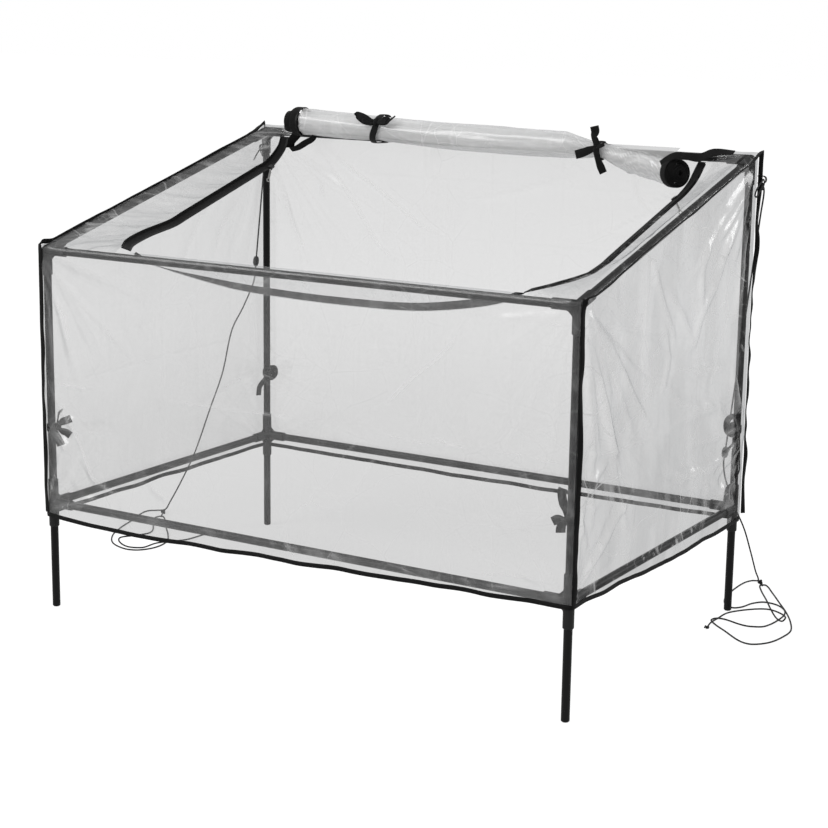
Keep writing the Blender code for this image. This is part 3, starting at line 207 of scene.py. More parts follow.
def band_profile(width, thickness, bulge, steps=6):
    """Section of a band from its first edge round to the same edge, rounded at both edges."""
    half, thin = width / 2, thickness / 2
    shares = [-1 + 2 * k / steps for k in range(steps + 1)]
    top = [(t * (half - thin * 0.5), thin + bulge * (1 - t * t)) for t in shares]
    return [(-half, 0.0)] + top + [(half, 0.0)] + [(x, -y) for x, y in reversed(top)]


# ---------------------------------------------------------------- materials
class Value:
    """A node's output. Plain arithmetic with it adds math nodes."""

    def __init__(self, shader, socket):
        self.shader, self.socket = shader, socket

    def __add__(self, other):
        return self.shader.math("ADD", self, other)

    def __radd__(self, other):
        return self.shader.math("ADD", other, self)

    def __sub__(self, other):
        return self.shader.math("SUBTRACT", self, other)

    def __rsub__(self, other):
        return self.shader.math("SUBTRACT", other, self)

    def __mul__(self, other):
        return self.shader.math("MULTIPLY", self, other)


class Shader:
    """The node tree of a material or a world, and short ways to add nodes to it."""

    def __init__(self, owner, output="OutputMaterial"):
        owner.use_nodes = True
        self.owner, self.tree = owner, owner.node_tree
        self.tree.nodes.clear()
        self.out = self.tree.nodes.new("ShaderNode" + output)

    def add(self, kind, sockets=None, out=0, **settings):
        """A new node's output, or several where out is a tuple."""
        made = self.tree.nodes.new("ShaderNode" + kind)
        for key, value in settings.items():
            setattr(made, key, value)
        for key, value in (sockets or {}).items():
            if isinstance(value, Value):
                self.tree.links.new(value.socket, made.inputs[key])
            else:
                made.inputs[key].default_value = value
        if isinstance(out, tuple):
            return [Value(self, made.outputs[key]) for key in out]
        return Value(self, made.outputs[out])

    def math(self, operation, a, b, clamp=False):
        return self.add("Math", {0: a, 1: b}, operation=operation, use_clamp=clamp)

    def sine(self, angle):
        return self.add("Math", {0: angle, 1: 0.0}, operation="SINE")

    def ramp(self, value, low, high, to_low=0.0, to_high=1.0, kind="SMOOTHSTEP"):
        return self.add("MapRange", {0: value, 1: low, 2: high, 3: to_low, 4: to_high}, interpolation_type=kind)

    def linear(self, value, low, high, to_low, to_high):
        return self.ramp(value, low, high, to_low, to_high, "LINEAR")

    def mix(self, share, a, b):
        return self.add("Mix", {0: share, 6: a, 7: b}, 2, data_type="RGBA")

    def mix_shader(self, share, a, b):
        return self.add("MixShader", {0: share, 1: a, 2: b})

    def noise(self, vector, scale, detail=3.0, roughness=0.55):
        return self.add("TexNoise", {"Vector": vector, "Scale": scale, "Detail": detail, "Roughness": roughness})

    def scaled(self, vector, scale, turn=(0, 0, 0)):
        return self.add("Mapping", {"Vector": vector, "Scale": scale, "Rotation": turn})

    def bump(self, height, distance, strength):
        return self.add("Bump", {"Height": height, "Distance": distance, "Strength": strength})

    def place(self, kind="Object"):
        return self.add("TexCoord", out=kind)

    def surface(self, value):
        self.tree.links.new(value.socket, self.out.inputs["Surface"])
        return self.owner

    def principled(self, colour, roughness, normal, **constants):
        sockets = {"Base Color": colour, "Roughness": roughness, "Normal": normal}
        sockets.update((key.replace("_", " "), value) for key, value in constants.items())
        return self.surface(self.add("BsdfPrincipled", sockets))


def new_material(name):
    return Shader(bpy.data.materials.new(name))


def grey(value, tint=(1.0, 1.0, 1.0)):
    return (value * tint[0], value * tint[1], value * tint[2], 1.0)


def film_material(name, haze=0.070, crumple=1.0, mottled=1.0, mirror_cap=0.30, grazing=0.52, blur=0.0, patches=0.0):
    """Clear film. haze is how much it hides, crumple its waves, mottled how uneven it is, mirror_cap its strongest
    mirror image, blur that image's softness, grazing its clearness seen edge on and patches its darker areas of
    painted shade. The mesh's whitening values make it whiter, and clearer where they are below 0; they hold the
    creases' own whitening together with painted glints, streaks and patches of light."""
    s = new_material(name)
    place = s.place()
    warp = s.noise(place, 3.0, 2.0)
    wander = s.scaled(s.add("TexNoise", {"Vector": place, "Scale": 4.0}, 1), (0.12, 0.12, 0.12))
    bent = s.add("VectorMath", {0: place, 1: wander}, operation="ADD")
    cells = s.add("TexVoronoi", {"Vector": bent, "Scale": 8.5}, feature="DISTANCE_TO_EDGE")
    small = s.add("TexVoronoi", {"Vector": bent, "Scale": 23.0}, feature="DISTANCE_TO_EDGE")
    facets = s.add("TexVoronoi", {"Vector": bent, "Scale": 8.5, "Smoothness": 0.6}, feature="SMOOTH_F1")
    lines = s.ramp(cells, 0.0, 0.022, 1.0, 0.0) * (s.ramp(warp, 0.42, 0.62) * (0.10 * crumple * mottled))
    spots = s.ramp(s.noise(place, 7.0, 2.0), 0.50, 0.66)
    thin = s.ramp(small, 0.0, 0.020, 1.0, 0.0) * (spots * (0.07 * crumple * mottled))
    # The mesh's whitening values: the creases' own whitening with painted glints, and painted streaks and patches of
    # light and shade
    whiteness_and_painted_light = s.add("Attribute", out="Fac", attribute_name="whitening_and_painted_light")
    hanging = s.noise(s.scaled(bent, (15, 15, 4.5), (0.15, 0.10, 0.0)), 1.0, 4.0, 0.62)
    streaks = s.ramp(hanging, 0.52, 0.66) * (s.ramp(warp, 0.35, 0.60) * (0.075 * mottled))
    soft = s.linear(s.noise(place, 11.0, 5.0, 0.6), 0.3, 0.75, -0.020 * mottled, 0.026 * mottled) + streaks
    veil = s.math("ADD", (haze + soft) + (lines + thin), whiteness_and_painted_light * 0.38, clamp=True)
    height = facets * 0.55 + s.noise(bent, 16.0, 3.0, 0.5) * 0.5
    height = height + s.noise(place, 55.0, 3.0, 0.6) * 0.10
    normal = s.bump(height, 0.010, 0.30 * crumple)
    white = {"Color": grey(0.93), "Normal": normal}
    cloudy = s.mix_shader(0.35, s.add("BsdfDiffuse", white), s.add("BsdfTranslucent", white))
    turned = s.add("LayerWeight", {"Blend": 0.5, "Normal": s.bump(height, 0.010, 0.55 * crumple)}, "Facing")
    through = s.mix(s.linear(turned, 0.29, 0.92, 0.0, 1.0), grey(0.97), grey(grazing, (0.99, 1.0, 1.01)))
    # Painted shade: darker patches in what shows through the film
    if patches:
        tall = s.noise(s.scaled(bent, (9.0, 9.0, 3.6), (0.10, 0.05, 0.0)), 1.0, 3.0, 0.5)
        tone = s.ramp(tall, 0.43, 0.55, 1 - patches, 1.0)
        through = s.add("VectorMath", {0: through, "Scale": tone}, operation="SCALE")
    body = s.mix_shader(veil, s.add("BsdfTransparent", {"Color": through}), cloudy)
    rough = s.linear(s.noise(place, 5.0, 2.0), 0.3, 0.7, 0.07 + blur, 0.19 + blur)
    shine = s.add("BsdfGlossy", {"Color": grey(1.0), "Roughness": rough, "Normal": normal})
    mirror = s.math("MINIMUM", s.add("Fresnel", {"IOR": 1.46, "Normal": normal}) * 1.10, mirror_cap)
    return s.surface(s.mix_shader(mirror * s.ramp(whiteness_and_painted_light, -0.12, 0.0, 0.25, 1.0), body, shine))


def tube_material():
    """Black powder coat: fine orange peel, dust in places and thin scuffs."""
    s = new_material("powder_coated_tube")
    place = s.place()
    clouds = s.noise(place, 14.0, 4.0, 0.6)
    scuffs = s.ramp(s.noise(s.scaled(place, (160, 160, 160)), 1.0, 3.0, 0.7), 0.66, 0.74)
    colour = s.mix(s.ramp(clouds, 0.50, 0.75), grey(0.0030), grey(0.0060, (1.0, 0.99, 0.97)))
    height = s.noise(place, 900.0, 2.0) + s.noise(place, 260.0, 2.0) * 0.6
    return s.principled(
        s.mix(scuffs * 0.35, colour, grey(0.024)), s.linear(clouds, 0.3, 0.7, 0.34, 0.46),
        s.bump(height, 0.00018, 0.5), Specular_IOR_Level=0.20,
    )


def moulded_material(name, colour=0.006, rough=(0.38, 0.52), spark=0.00016):
    """Black moulded plastic with a fine spark-eroded grain and slightly rubbed edges."""
    s = new_material(name)
    place = s.place()
    broad = s.noise(place, 45.0, 3.0, 0.6)
    rubbed = s.ramp(s.add("NewGeometry", out="Pointiness"), 0.52, 0.62) * 0.5
    base = s.mix(s.ramp(broad, 0.3, 0.7), grey(colour * 0.85), grey(colour * 1.25))
    grain = s.bump(s.noise(place, 1400.0, 3.0, 0.7), spark, 0.6)
    base = s.mix(rubbed, base, grey(colour * 2.6))
    return s.principled(base, s.linear(broad, 0.3, 0.7, *rough), grain, Specular_IOR_Level=0.25)


def fabric_material(name, colour, rib, across, stitch=(), sheen=0.05):
    """Woven tape. The map's x runs along the tape and y across it, in metres. stitch holds each row's y and pitch."""
    s = new_material(name)
    uv = s.place("UV")
    x, y = s.add("SeparateXYZ", {0: uv}, (0, 1))
    ribs, yarns = s.sine(x * (math.tau / rib)), s.sine(y * (math.tau / across))
    weave = ribs * 0.5 + ribs * yarns * 0.5
    fuzz = s.noise(s.scaled(uv, (1, 1, 1)), 1800.0, 2.0)
    wear = s.ramp(s.noise(s.place(), 18.0, 4.0, 0.6), 0.5, 0.75) * 0.35
    base = s.mix(s.ramp(weave, -0.8, 0.9), grey(colour * 0.55), grey(colour * 1.35))
    base = s.mix(wear, base, grey(colour * 2.0, (1.0, 0.98, 0.95)))
    height = weave * 0.7 + fuzz * 0.35
    for row, pitch in stitch:
        near = s.math("ABSOLUTE", y - row, 0.0)
        dash = s.ramp(s.sine(x * (math.tau / pitch)), -0.45, -0.15)
        line = s.ramp(near, 0.00022, 0.00050, 1.0, 0.0) * dash
        base = s.mix(line, base, grey(0.022))
        height = height + line * 1.6 - s.ramp(near, 0.0, 0.0016, 1.0, 0.0) * 0.8
    return s.principled(
        base, s.linear(fuzz, 0.3, 0.7, 0.68, 0.86), s.bump(height, 0.00030, 0.8),
        Sheen_Weight=sheen, Sheen_Roughness=0.45, Specular_IOR_Level=0.12,
    )


def rope_material():
    """Braided cord: strands cross on a diagonal, with a few dusty fibres."""
    s = new_material("braided_rope")
    x, y = s.add("SeparateXYZ", {0: s.place("UV")}, (0, 1))
    turn, along = y * (math.tau * 4 / (math.pi * ROPE_D)), x * (math.tau / 0.0058)
    braid = s.math("MAXIMUM", s.sine(along + turn), s.sine(along - turn))
    fuzz = s.noise(s.place(), 1500.0, 3.0, 0.7)
    base = s.mix(s.ramp(braid, 0.0, 1.0), grey(0.004), grey(0.016, (0.97, 1.0, 1.04)))
    return s.principled(
        s.mix(s.ramp(fuzz, 0.58, 0.72) * 0.5, base, grey(0.045)), s.linear(fuzz, 0.3, 0.7, 0.62, 0.82),
        s.bump(braid + fuzz * 0.45, 0.00042, 0.9), Sheen_Weight=0.1, Sheen_Roughness=0.5, Specular_IOR_Level=0.25,
    )


def metal_material():
    """Nickel plate with fine polishing lines."""
    s = new_material("plated_metal")
    place = s.place()
    lines = s.noise(s.scaled(place, (2600, 2600, 220)), 1.0, 2.0)
    cloud = s.ramp(s.noise(place, 120.0, 3.0), 0.35, 0.7)
    colour = s.mix(cloud, grey(0.40, (1.0, 0.99, 0.96)), grey(0.62, (1.0, 0.99, 0.97)))
    return s.principled(colour, s.linear(lines, 0.3, 0.7, 0.22, 0.38), s.bump(lines, 0.00005, 0.5), Metallic=1.0)


# ---------------------------------------------------------------- meshes
def new_object(name, points, faces, material, uv=None, smooth=True):
    mesh = bpy.data.meshes.new(name)
    mesh.from_pydata(np.asarray(points, float).reshape(-1, 3).tolist(), [], faces)
    if uv is not None:
        layer = mesh.uv_layers.new(name="map")
        if len(uv):
            layer.data.foreach_set("uv", np.asarray(uv, np.float32).reshape(-1))
    if smooth:
        mesh.shade_smooth()
    obj = bpy.data.objects.new(name, mesh)
    bpy.context.scene.collection.objects.link(obj)
    mesh.materials.append(material)
    return obj


def finished(obj, nodes=(), body="greenhouse"):
    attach(obj, body)
    if nodes:
        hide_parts(*nodes)
    return obj


def film_sheet(name, points, material, whitening_and_painted_light):
    """An open surface through rows and columns of points, with whitening values for the film's material, which hold
    the creases' whitening and painted light.
    """
    rows, columns = points.shape[:2]
    index = np.arange(rows * columns).reshape(rows, columns)
    faces = np.stack([index[:-1, :-1], index[:-1, 1:], index[1:, 1:], index[1:, :-1]], -1).reshape(-1, 4)
    uv = np.zeros((rows, columns, 2))
    uv[:, 1:, 0] = np.cumsum(np.linalg.norm(np.diff(points, axis=1), axis=2), axis=1)
    uv[1:, :, 1] = np.cumsum(np.linalg.norm(np.diff(points, axis=0), axis=2), axis=0)
    obj = new_object(name, points, faces.tolist(), material, uv.reshape(-1, 2)[faces.reshape(-1)])
    attribute = obj.data.attributes.new("whitening_and_painted_light", "FLOAT", "POINT")
    attribute.data.foreach_set("value", whitening_and_painted_light.reshape(-1).astype(np.float32))
    return obj


def loft(name, centre, across, profile, material, closed=False):
    """A closed band or rod. profile is a loop of (across, out) offsets, the same or one per point of the line."""
    centre = np.asarray(centre, float)
    count = len(centre)
    tangent = tangents(centre, closed)
    across = squared(np.broadcast_to(np.asarray(across, float), (count, 3)), tangent)
    out = np.cross(tangent, across)
    profile = np.asarray(profile, float)
    profile = np.broadcast_to(profile, (count,) + profile.shape[-2:])
    sides = profile.shape[1]
    points = centre[:, None] + across[:, None] * profile[..., :1] + out[:, None] * profile[..., 1:]
    run, girth = (distances(np.concatenate([ring, ring[:1]])) for ring in (centre, profile[0]))
    faces, uv = [], []
    for i in range(count if closed else count - 1):
        n = (i + 1) % count
        for j in range(sides):
            m = (j + 1) % sides
            faces.append((i * sides + j, i * sides + m, n * sides + m, n * sides + j))
            uv += [(run[i], girth[j]), (run[i], girth[j + 1]), (run[i + 1], girth[j + 1]), (run[i + 1], girth[j])]
    if not closed:
        for ring, order in ((0, -1), (count - 1, 1)):
            faces.append(tuple(range(ring * sides, ring * sides + sides))[::order])
            uv += [(run[ring], 0.0)] * sides
    return new_object(name, points, faces, material, uv)


def joined(name, objects):
    """One object of several."""
    bpy.ops.object.select_all(action="DESELECT")
    for obj in objects:
        obj.select_set(True)
    bpy.context.view_layer.objects.active = objects[0]
    bpy.ops.object.join()
    objects[0].name = name
    objects[0].data.name = name
    return objects[0]


# ---------------------------------------------------------------- shared lines of the cover
# How far the hem hangs below the bottom rail's centre: thousandths of the panel's width, then millimetres
HEM_DROPS = {
    "front": (0, 23, 100, 31, 200, 32, 500, 22, 800, 13, 1000, 8),
    "right": (0, 8, 200, 11, 500, 24, 800, 25, 1000, 24),
    "back": (0, 24, 500, 29, 1000, 26),
    "left": (0, 26, 500, 24, 1000, 23),
}
# Centre lines of the zip tapes, in tenths of a millimetre, and how far they lean, in degrees
ZIPS = {
    "left": (
        -3980, -3620, 7570, -4360, -3030, 7590, -4580, -2220, 7680, -4665, -1300, 7790, -4935, 2550, 8755, -4950,
        3000, 9060, -4980, 3180, 9320,
    ),
    "right": (
        4860, -3620, 7570, 4970, -2950, 7600, 5050, -1800, 7660, 4975, -900, 7750, 4820, 2850, 8680, 4905, 3220, 8940,
        5000, 3450, 9300,
    ),
    "front": (
        -3840, -3520, 7500, -3520, -3340, 7280, -2300, -3260, 7090, -1000, -3220, 6980, 1000, -3200, 6950, 2500,
        -3220, 7010, 4100, -3320, 7290, 4660, -3520, 7500,
    ),
}
ZIP_LEAN = {"left": 17, "right": 28, "front": 52}
FRONT_ZIP_END_LEAN = math.radians(16)


def roof_height(y):
    return FRONT_Z + SLOPE * (y + HALF_Y) + ROOF_OFFSET


def edge_drop(side, y):
    """How far below the cover's corner a side's roof seam hangs."""
    return {"left": 0.0120, "right": 0.0085}[side] * float(smoothstep(0.0, 0.05, COVER_Y - abs(y)))


def panel_line(panel):
    """Start and end of a panel seen from above, and its outward direction."""
    x, y = COVER_X, COVER_Y
    return [Vector((*p, 0)) for p in {
        "front": ((-x + INSET, -y), (x - INSET, -y), (0, -1)),
        "right": ((x, -y + INSET), (x, y - INSET), (1, 0)),
        "back": ((x - INSET, y), (-x + INSET, y), (0, 1)),
        "left": ((-x, y - INSET), (-x, -y + INSET), (-1, 0)),
    }[panel]]


def hem_point(panel, u):
    """The hem's middle at a share of its panel, with waves outwards and upwards."""
    start, end, outward = panel_line(panel)
    place = PANELS.index(panel) * 5.0 + u * (2.4 if panel in ROWS else 1.5)
    ends = min(1.0, 14 * u, 14 * (1 - u))
    out = 0.0048 * wave(place * 4.1, 0.3, 0.0) + 0.0022 * wave(place * 11.0, 3.3, 0.0)
    point = start.lerp(end, u) + outward * (max(out, -0.002) * ends)
    point.z = BASE_Z - share_of(grouped(HEM_DROPS[panel], 2), u) + 0.0026 * wave(place * 6.0, 7.1, 0.0) * ends
    return point


def zip_line(side):
    """Centre line of a zip tape. The side tapes have a straight stretch, which the slider runs on."""
    points = [Vector(p) for p in grouped(ZIPS[side], 3, 10000)]
    if side != "front":
        low, high = points[3:5]
        points[3:5] = [low.lerp(high, k / 8) for k in range(9)]
    return spline(points, spacing=TAPE_STEP)


def zip_across(side, line):
    """Width direction of a tape, towards the opening and leaning down with the film."""
    lean = math.radians(ZIP_LEAN[side])
    if side == "front":
        share = np.linspace(0, 1, len(line))
        full = smoothstep(0.03, 0.30, share) * smoothstep(0.0, 0.12, 1 - share)
        leans = FRONT_ZIP_END_LEAN + (lean - FRONT_ZIP_END_LEAN) * full
        level = np.column_stack([np.zeros(len(line)), np.cos(leans), -np.sin(leans)])
    else:
        level = np.tile([-SIDES[side] * math.cos(lean), 0.0, -math.sin(lean)], (len(line), 1))
    return squared(level, tangents(line))


# ---------------------------------------------------------------- film walls
# Creases seen on each wall: a row of (distance along, height), then width and height in tenths of a millimetre and
# whiteness in percent, which is the crease's own whitening together with a painted glint where it catches the light
CREASES = {
    "front": (
        ((-590, 474, -534, 474, -487, 476, -433, 478), 45, 22, 75),
        ((-340, 475, -278, 476, -178, 476, -59, 478, 44, 476, 177, 480), 45, 22, 55),
        ((203, 470, 236, 471, 330, 466), 45, 20, 65), ((304, 486, 349, 472, 401, 471), 45, 25, 95),
        ((430, 473, 509, 473, 590, 468), 45, 20, 75),
        ((386, 707, 353, 652, 327, 621, 272, 583, 189, 507), 60, 30, 75),
        ((204, 439, 180, 402, 142, 337), 60, 20, 45), ((21, 700, 60, 630, 120, 536), 80, 28, 35),
        ((-576, 657, -536, 619, -526, 546), 80, 40, 65),
        ((-596, 486, -566, 442, -519, 382, -474, 293, -380, 254), 70, 45, 75),
        ((-592, 400, -530, 330, -500, 262), 70, 40, 50), ((-333, 299, -271, 271), 60, 30, 60),
        ((362, 245, 485, 256, 590, 250), 60, 30, 55), ((420, 225, 548, 240), 60, 25, 45),
        ((-180, 690, -160, 600, -170, 480), 120, 30, 15), ((500, 700, 470, 600, 400, 500), 160, 50, 18),
        ((560, 620, 545, 480, 560, 330), 140, 45, 15),
    ),
    "right": (
        ((-366, 732, -280, 655, -189, 570, -110, 500, -53, 454), 70, 50, 80),
        ((-368, 681, -255, 483, -212, 373, -150, 261), 70, 50, 75),
        ((-355, 721, -260, 606, -158, 479, -120, 462), 60, 40, 60), ((-372, 640, -330, 480, -320, 300), 80, 40, 40),
        ((-379, 480, -248, 466, -53, 454), 45, 22, 70), ((-53, 454, 80, 462, 230, 458, 380, 466), 45, 18, 35),
        ((306, 844, 231, 771, 185, 701, 124, 651, 102, 611, 14, 588), 80, 55, 80),
        ((-117, 803, -60, 711, 24, 612), 70, 45, 65), ((-52, 739, 30, 680, 102, 611), 70, 40, 70),
        ((-60, 700, -20, 600, -40, 520), 80, 40, 55), ((384, 392, 229, 338, 78, 350, -29, 397), 90, 60, 75),
        ((384, 396, 250, 400, 111, 411), 70, 45, 65), ((384, 388, 300, 310, 240, 240), 80, 50, 55),
        ((384, 402, 330, 460, 300, 540), 80, 45, 55), ((-48, 587, 87, 555, 316, 531), 90, 50, 65),
        ((-33, 550, 46, 498, 145, 471, 272, 469), 80, 45, 60), ((376, 860, 330, 760, 300, 620), 100, 55, 45),
        ((150, 820, 120, 740, 140, 660), 80, 40, 45),
    ),
    "back": (
        ((-450, 905, -368, 801, -294, 703, -232, 656), 70, 40, 75),
        ((-431, 906, -307, 831, -186, 752, -79, 709), 70, 40, 70), ((-572, 851, -520, 717, -475, 630), 70, 45, 60),
        ((-450, 838, -437, 791), 50, 25, 80), ((-81, 818, 65, 841, 187, 886), 90, 30, 35),
        ((336, 911, 343, 850, 385, 800), 80, 30, 45), ((-590, 560, -200, 566, 200, 560, 590, 564), 45, 18, 35),
        ((-110, 900, -112, 600, -110, 260), 45, 16, 30), ((60, 900, 62, 600, 60, 260), 45, 16, 30),
    ),
    "left": (
        ((312, 818, 215, 727, 180, 658), 80, 45, 55), ((289, 854, 139, 765, 40, 620), 80, 45, 50),
        ((-370, 460, 0, 470, 370, 466), 45, 18, 45), ((-366, 700, -200, 560, -80, 450), 80, 45, 55),
        ((370, 392, 200, 350, 80, 330), 90, 50, 55),
    ),
}
# Fans of folds from the corners: origin, how many, the first and the last angle in degrees, and their reach
FANS = {
    "front": (
        (-600, 742, 5, -78, -12, 300), (600, 742, 6, -168, -104, 340), (-600, 386, 6, -62, 40, 240),
        (-600, 205, 5, 12, 72, 260), (600, 218, 5, 104, 168, 280), (600, 386, 4, 150, 205, 160),
    ),
    "right": (
        (-385, 742, 9, -82, -20, 440), (385, 930, 8, -160, -98, 360), (385, 386, 8, 128, 238, 260),
        (-385, 216, 6, 14, 74, 280), (385, 200, 6, 106, 166, 300), (-385, 386, 4, -40, 40, 140),
    ),
    "back": (
        (-600, 930, 8, -74, -20, 440), (600, 930, 7, -160, -106, 400), (-600, 200, 5, 15, 70, 280),
        (600, 200, 5, 110, 165, 280), (-600, 386, 5, -40, 40, 200), (600, 386, 5, 140, 220, 200),
    ),
    "left": (
        (-385, 742, 7, -78, -20, 360), (385, 930, 8, -162, -100, 380), (385, 386, 6, 140, 220, 220),
        (-385, 205, 5, 14, 74, 260), (385, 200, 5, 106, 166, 280),
    ),
}
# Distances between the lines along which the cover was folded in its packet
PACKING = {"front": (147, 127), "back": (171, 127), "left": (125, 127), "right": (125, 127)}
# Height from which a crease wanders with the film instead of following its line
WANDERING = 0.0026
ROWS_COVER = {"front": 0.53, "other": 0.72}  # the height that a wall's rows are counted for
HEM_LEVEL = 0.204  # the hem's mean height
HEM_REACH = 0.07  # how far up the film follows the hem's outward waves
DEEPEST, HIGHEST, WHITEST = -0.010, 0.0125, 0.85  # limits of the folds, and of the creases' whiteness


def ridge(points, line, width):
    """Closeness to a bent line at each point, from 1 on it to 0, and the share along it."""
    line = np.asarray(line, float)
    best, where = np.full(len(points), 1e9), np.zeros(len(points))
    lengths = np.linalg.norm(np.diff(line, axis=0), axis=1)
    total, run = lengths.sum(), 0.0
    for a, b, length in zip(line, line[1:], lengths):
        t = np.clip(((points - a) @ (b - a)) / length**2, 0, 1)
        d = np.linalg.norm(points - a - t[:, None] * (b - a), axis=1)
        where = np.where(d < best, (run + t * length) / total, where)
        best = np.minimum(d, best)
        run += length
    near = np.exp(-((best / width) ** 2))
    return near * np.clip(4 * where, 0.15, 1) * np.clip(4 * (1 - where), 0.05, 1), where


def wall_folds(panel, flat):
    """How far a wall's film stands out at each point of its flat (along, height), and how white its creases are, with
    painted glints.
    """
    rise, white = np.zeros(len(flat)), np.zeros(len(flat))
    seed = PANELS.index(panel) + 1
    place = np.column_stack([flat, np.full(len(flat), seed * 3.7)])
    wander = np.column_stack([field(place, 9.0, 1), field(place, 9.0, 2)]) * 0.006
    bent = flat + wander
    for line, width, height, whiteness in CREASES[panel]:
        line, width, height = grouped(line, 2), width / 10000, height / 10000
        ground = bent if height > WANDERING else flat + wander * 0.25
        rise += ridge(ground, line, width * 1.5)[0] * height
        # A crease's whiteness: its own whitening and a painted glint
        white = np.maximum(white, ridge(ground, line, width * 0.62)[0] * (whiteness / 100))
    random = np.random.default_rng(seed)
    for x, z, count, first, last, reach in FANS[panel]:
        origin = np.array([x / 1000, z / 1000])
        for k in range(count):
            angle = math.radians(first + (last - first) * (k + random.uniform(-0.25, 0.25)) / max(1, count - 1))
            length = reach / 1000 * random.uniform(0.55, 1.15)
            direction = np.array([math.cos(angle), math.sin(angle)])
            aside = np.array([-direction[1], direction[0]]) * random.uniform(-0.05, 0.05)
            line = [origin + direction * length * t + aside * t * t for t in (0.0, 0.35, 0.7, 1.0)]
            height = random.uniform(0.0022, 0.0052) * (1 if random.random() < 0.7 else -0.5)
            near, where = ridge(bent, line, random.uniform(0.007, 0.015))
            rise += near * height
            crest = ridge(bent, line, 0.0034)[0]
            white = np.maximum(white, crest * random.uniform(0.15, 0.55) * (1 - 0.6 * where))
    for axis, pitch in enumerate(p / 1000 for p in PACKING[panel]):
        base = flat[:, axis] - (0.475 if axis else 0.0) + wander[:, 1 - axis] * 0.3
        nearest = np.abs(base - np.round(base / pitch) * pitch)
        strength = 0.5 + 0.5 * field(place, 5.0, 4 + axis)
        rise += 0.0011 * np.exp(-((nearest / 0.005) ** 2)) * strength
        white = np.maximum(white, 0.20 * np.exp(-((nearest / 0.0026) ** 2)) * np.clip(strength, 0, 1))
    broad = 0.0042 * field(place, 3.4, 5) + 0.0021 * field(place, 8.0, 6) + 0.0009 * field(place, 21.0, 7)
    streaks = np.column_stack([flat[:, 0] * 16 + flat[:, 1] * 5, flat[:, 1] * 2.2, np.full(len(flat), seed)])
    rise += broad + 0.0013 * field(streaks, 1.0, 8)
    calm = {"front": 0.85, "right": 1.15, "back": 0.55, "left": 0.15}[panel]
    return rise * calm, white * (0.75 if panel == "left" else 1.0)


def painted_light_and_shade_patches(flat, along, lean, up, seed, turn):
    """Patches of painted light and shade, either lighter or darker, with hardly a step between, from -1 to 1."""
    place = np.column_stack([flat[:, 0] * along + flat[:, 1] * lean, flat[:, 1] * up, np.full(len(flat), seed)])
    return np.clip(field(place, 1.0, turn) * 3.0, -1, 1)


def lying_on_tubes(panel, flat, points, mask):
    """What a wall's whitening values gain and lose where the film lies on tubes: painted streaks of light, and
    clearness.
    """
    half = HALF_X if panel in ROWS else HALF_Y
    touch = closeness(np.abs(flat[:, 0]) - half, 0.007, 0.013)
    clear, gain, depth, added = 0.4 * touch, 0.22, 1.0, 0.0
    if panel == "right":
        # Seen from the camera, the tubes behind the film stand beside the places where it touches them
        at_rail = closeness(flat[:, 1] - BASE_Z - 0.004, 0.009, 0.014)
        at_tie = closeness(flat[:, 0] - HALF_Y + 0.022, 0.025, 0.040) * closeness(flat[:, 1] - 0.385, 0.030, 0.050)
        at_post = closeness(flat[:, 0] - HALF_Y + 0.0195, 0.0135, 0.0195)
        clear = np.maximum(np.maximum(touch * 0.7, at_post), np.maximum(at_rail, at_tie))
        touch = np.maximum(touch * (flat[:, 0] < 0), at_post)
        touch = np.maximum(touch * 1.9, np.maximum(at_rail * 2.4, at_tie * 1.5))
        # Painted light and shade: lighter and darker patches over the right wall
        painted_light_and_shade = painted_light_and_shade_patches(flat, 9.0, 3.0, 3.0, 21.0, 16) * 0.055 + painted_light_and_shade_patches(flat, 42.0, 12.0, 7.0, 33.0, 17) * 0.045
        gain, depth, added = 0.55, 3.0, painted_light_and_shade * np.minimum(1.0, mask * 2) * (1 - np.minimum(1.0, clear))
    # Painted highlights: slanting streaks of light where the film lies on the tubes
    slanted = points * 1.0
    slanted[:, 2] = slanted[:, 2] * 2.2 + (slanted[:, 0] + slanted[:, 1]) * 2.0
    streak = patchy(slanted, 20.0, 12, 4, -1.2) + patchy(slanted, 45.0, 13, 4, -1.4)
    here = patchy(points, 9.0, 14, 3, 0.6)
    added = added + touch * streak * gain * here - clear * CONTACT * depth
    if panel == "front":
        # Painted highlights: streaks of light along the bottom rail
        at_rail = closeness(flat[:, 1] - BASE_Z, 0.007, 0.013) * (1 - touch)
        added = added + at_rail * (0.05 + 0.30 * streak * here + 0.16 * patchy(points, 6.0, 15, 2.5))
    return added


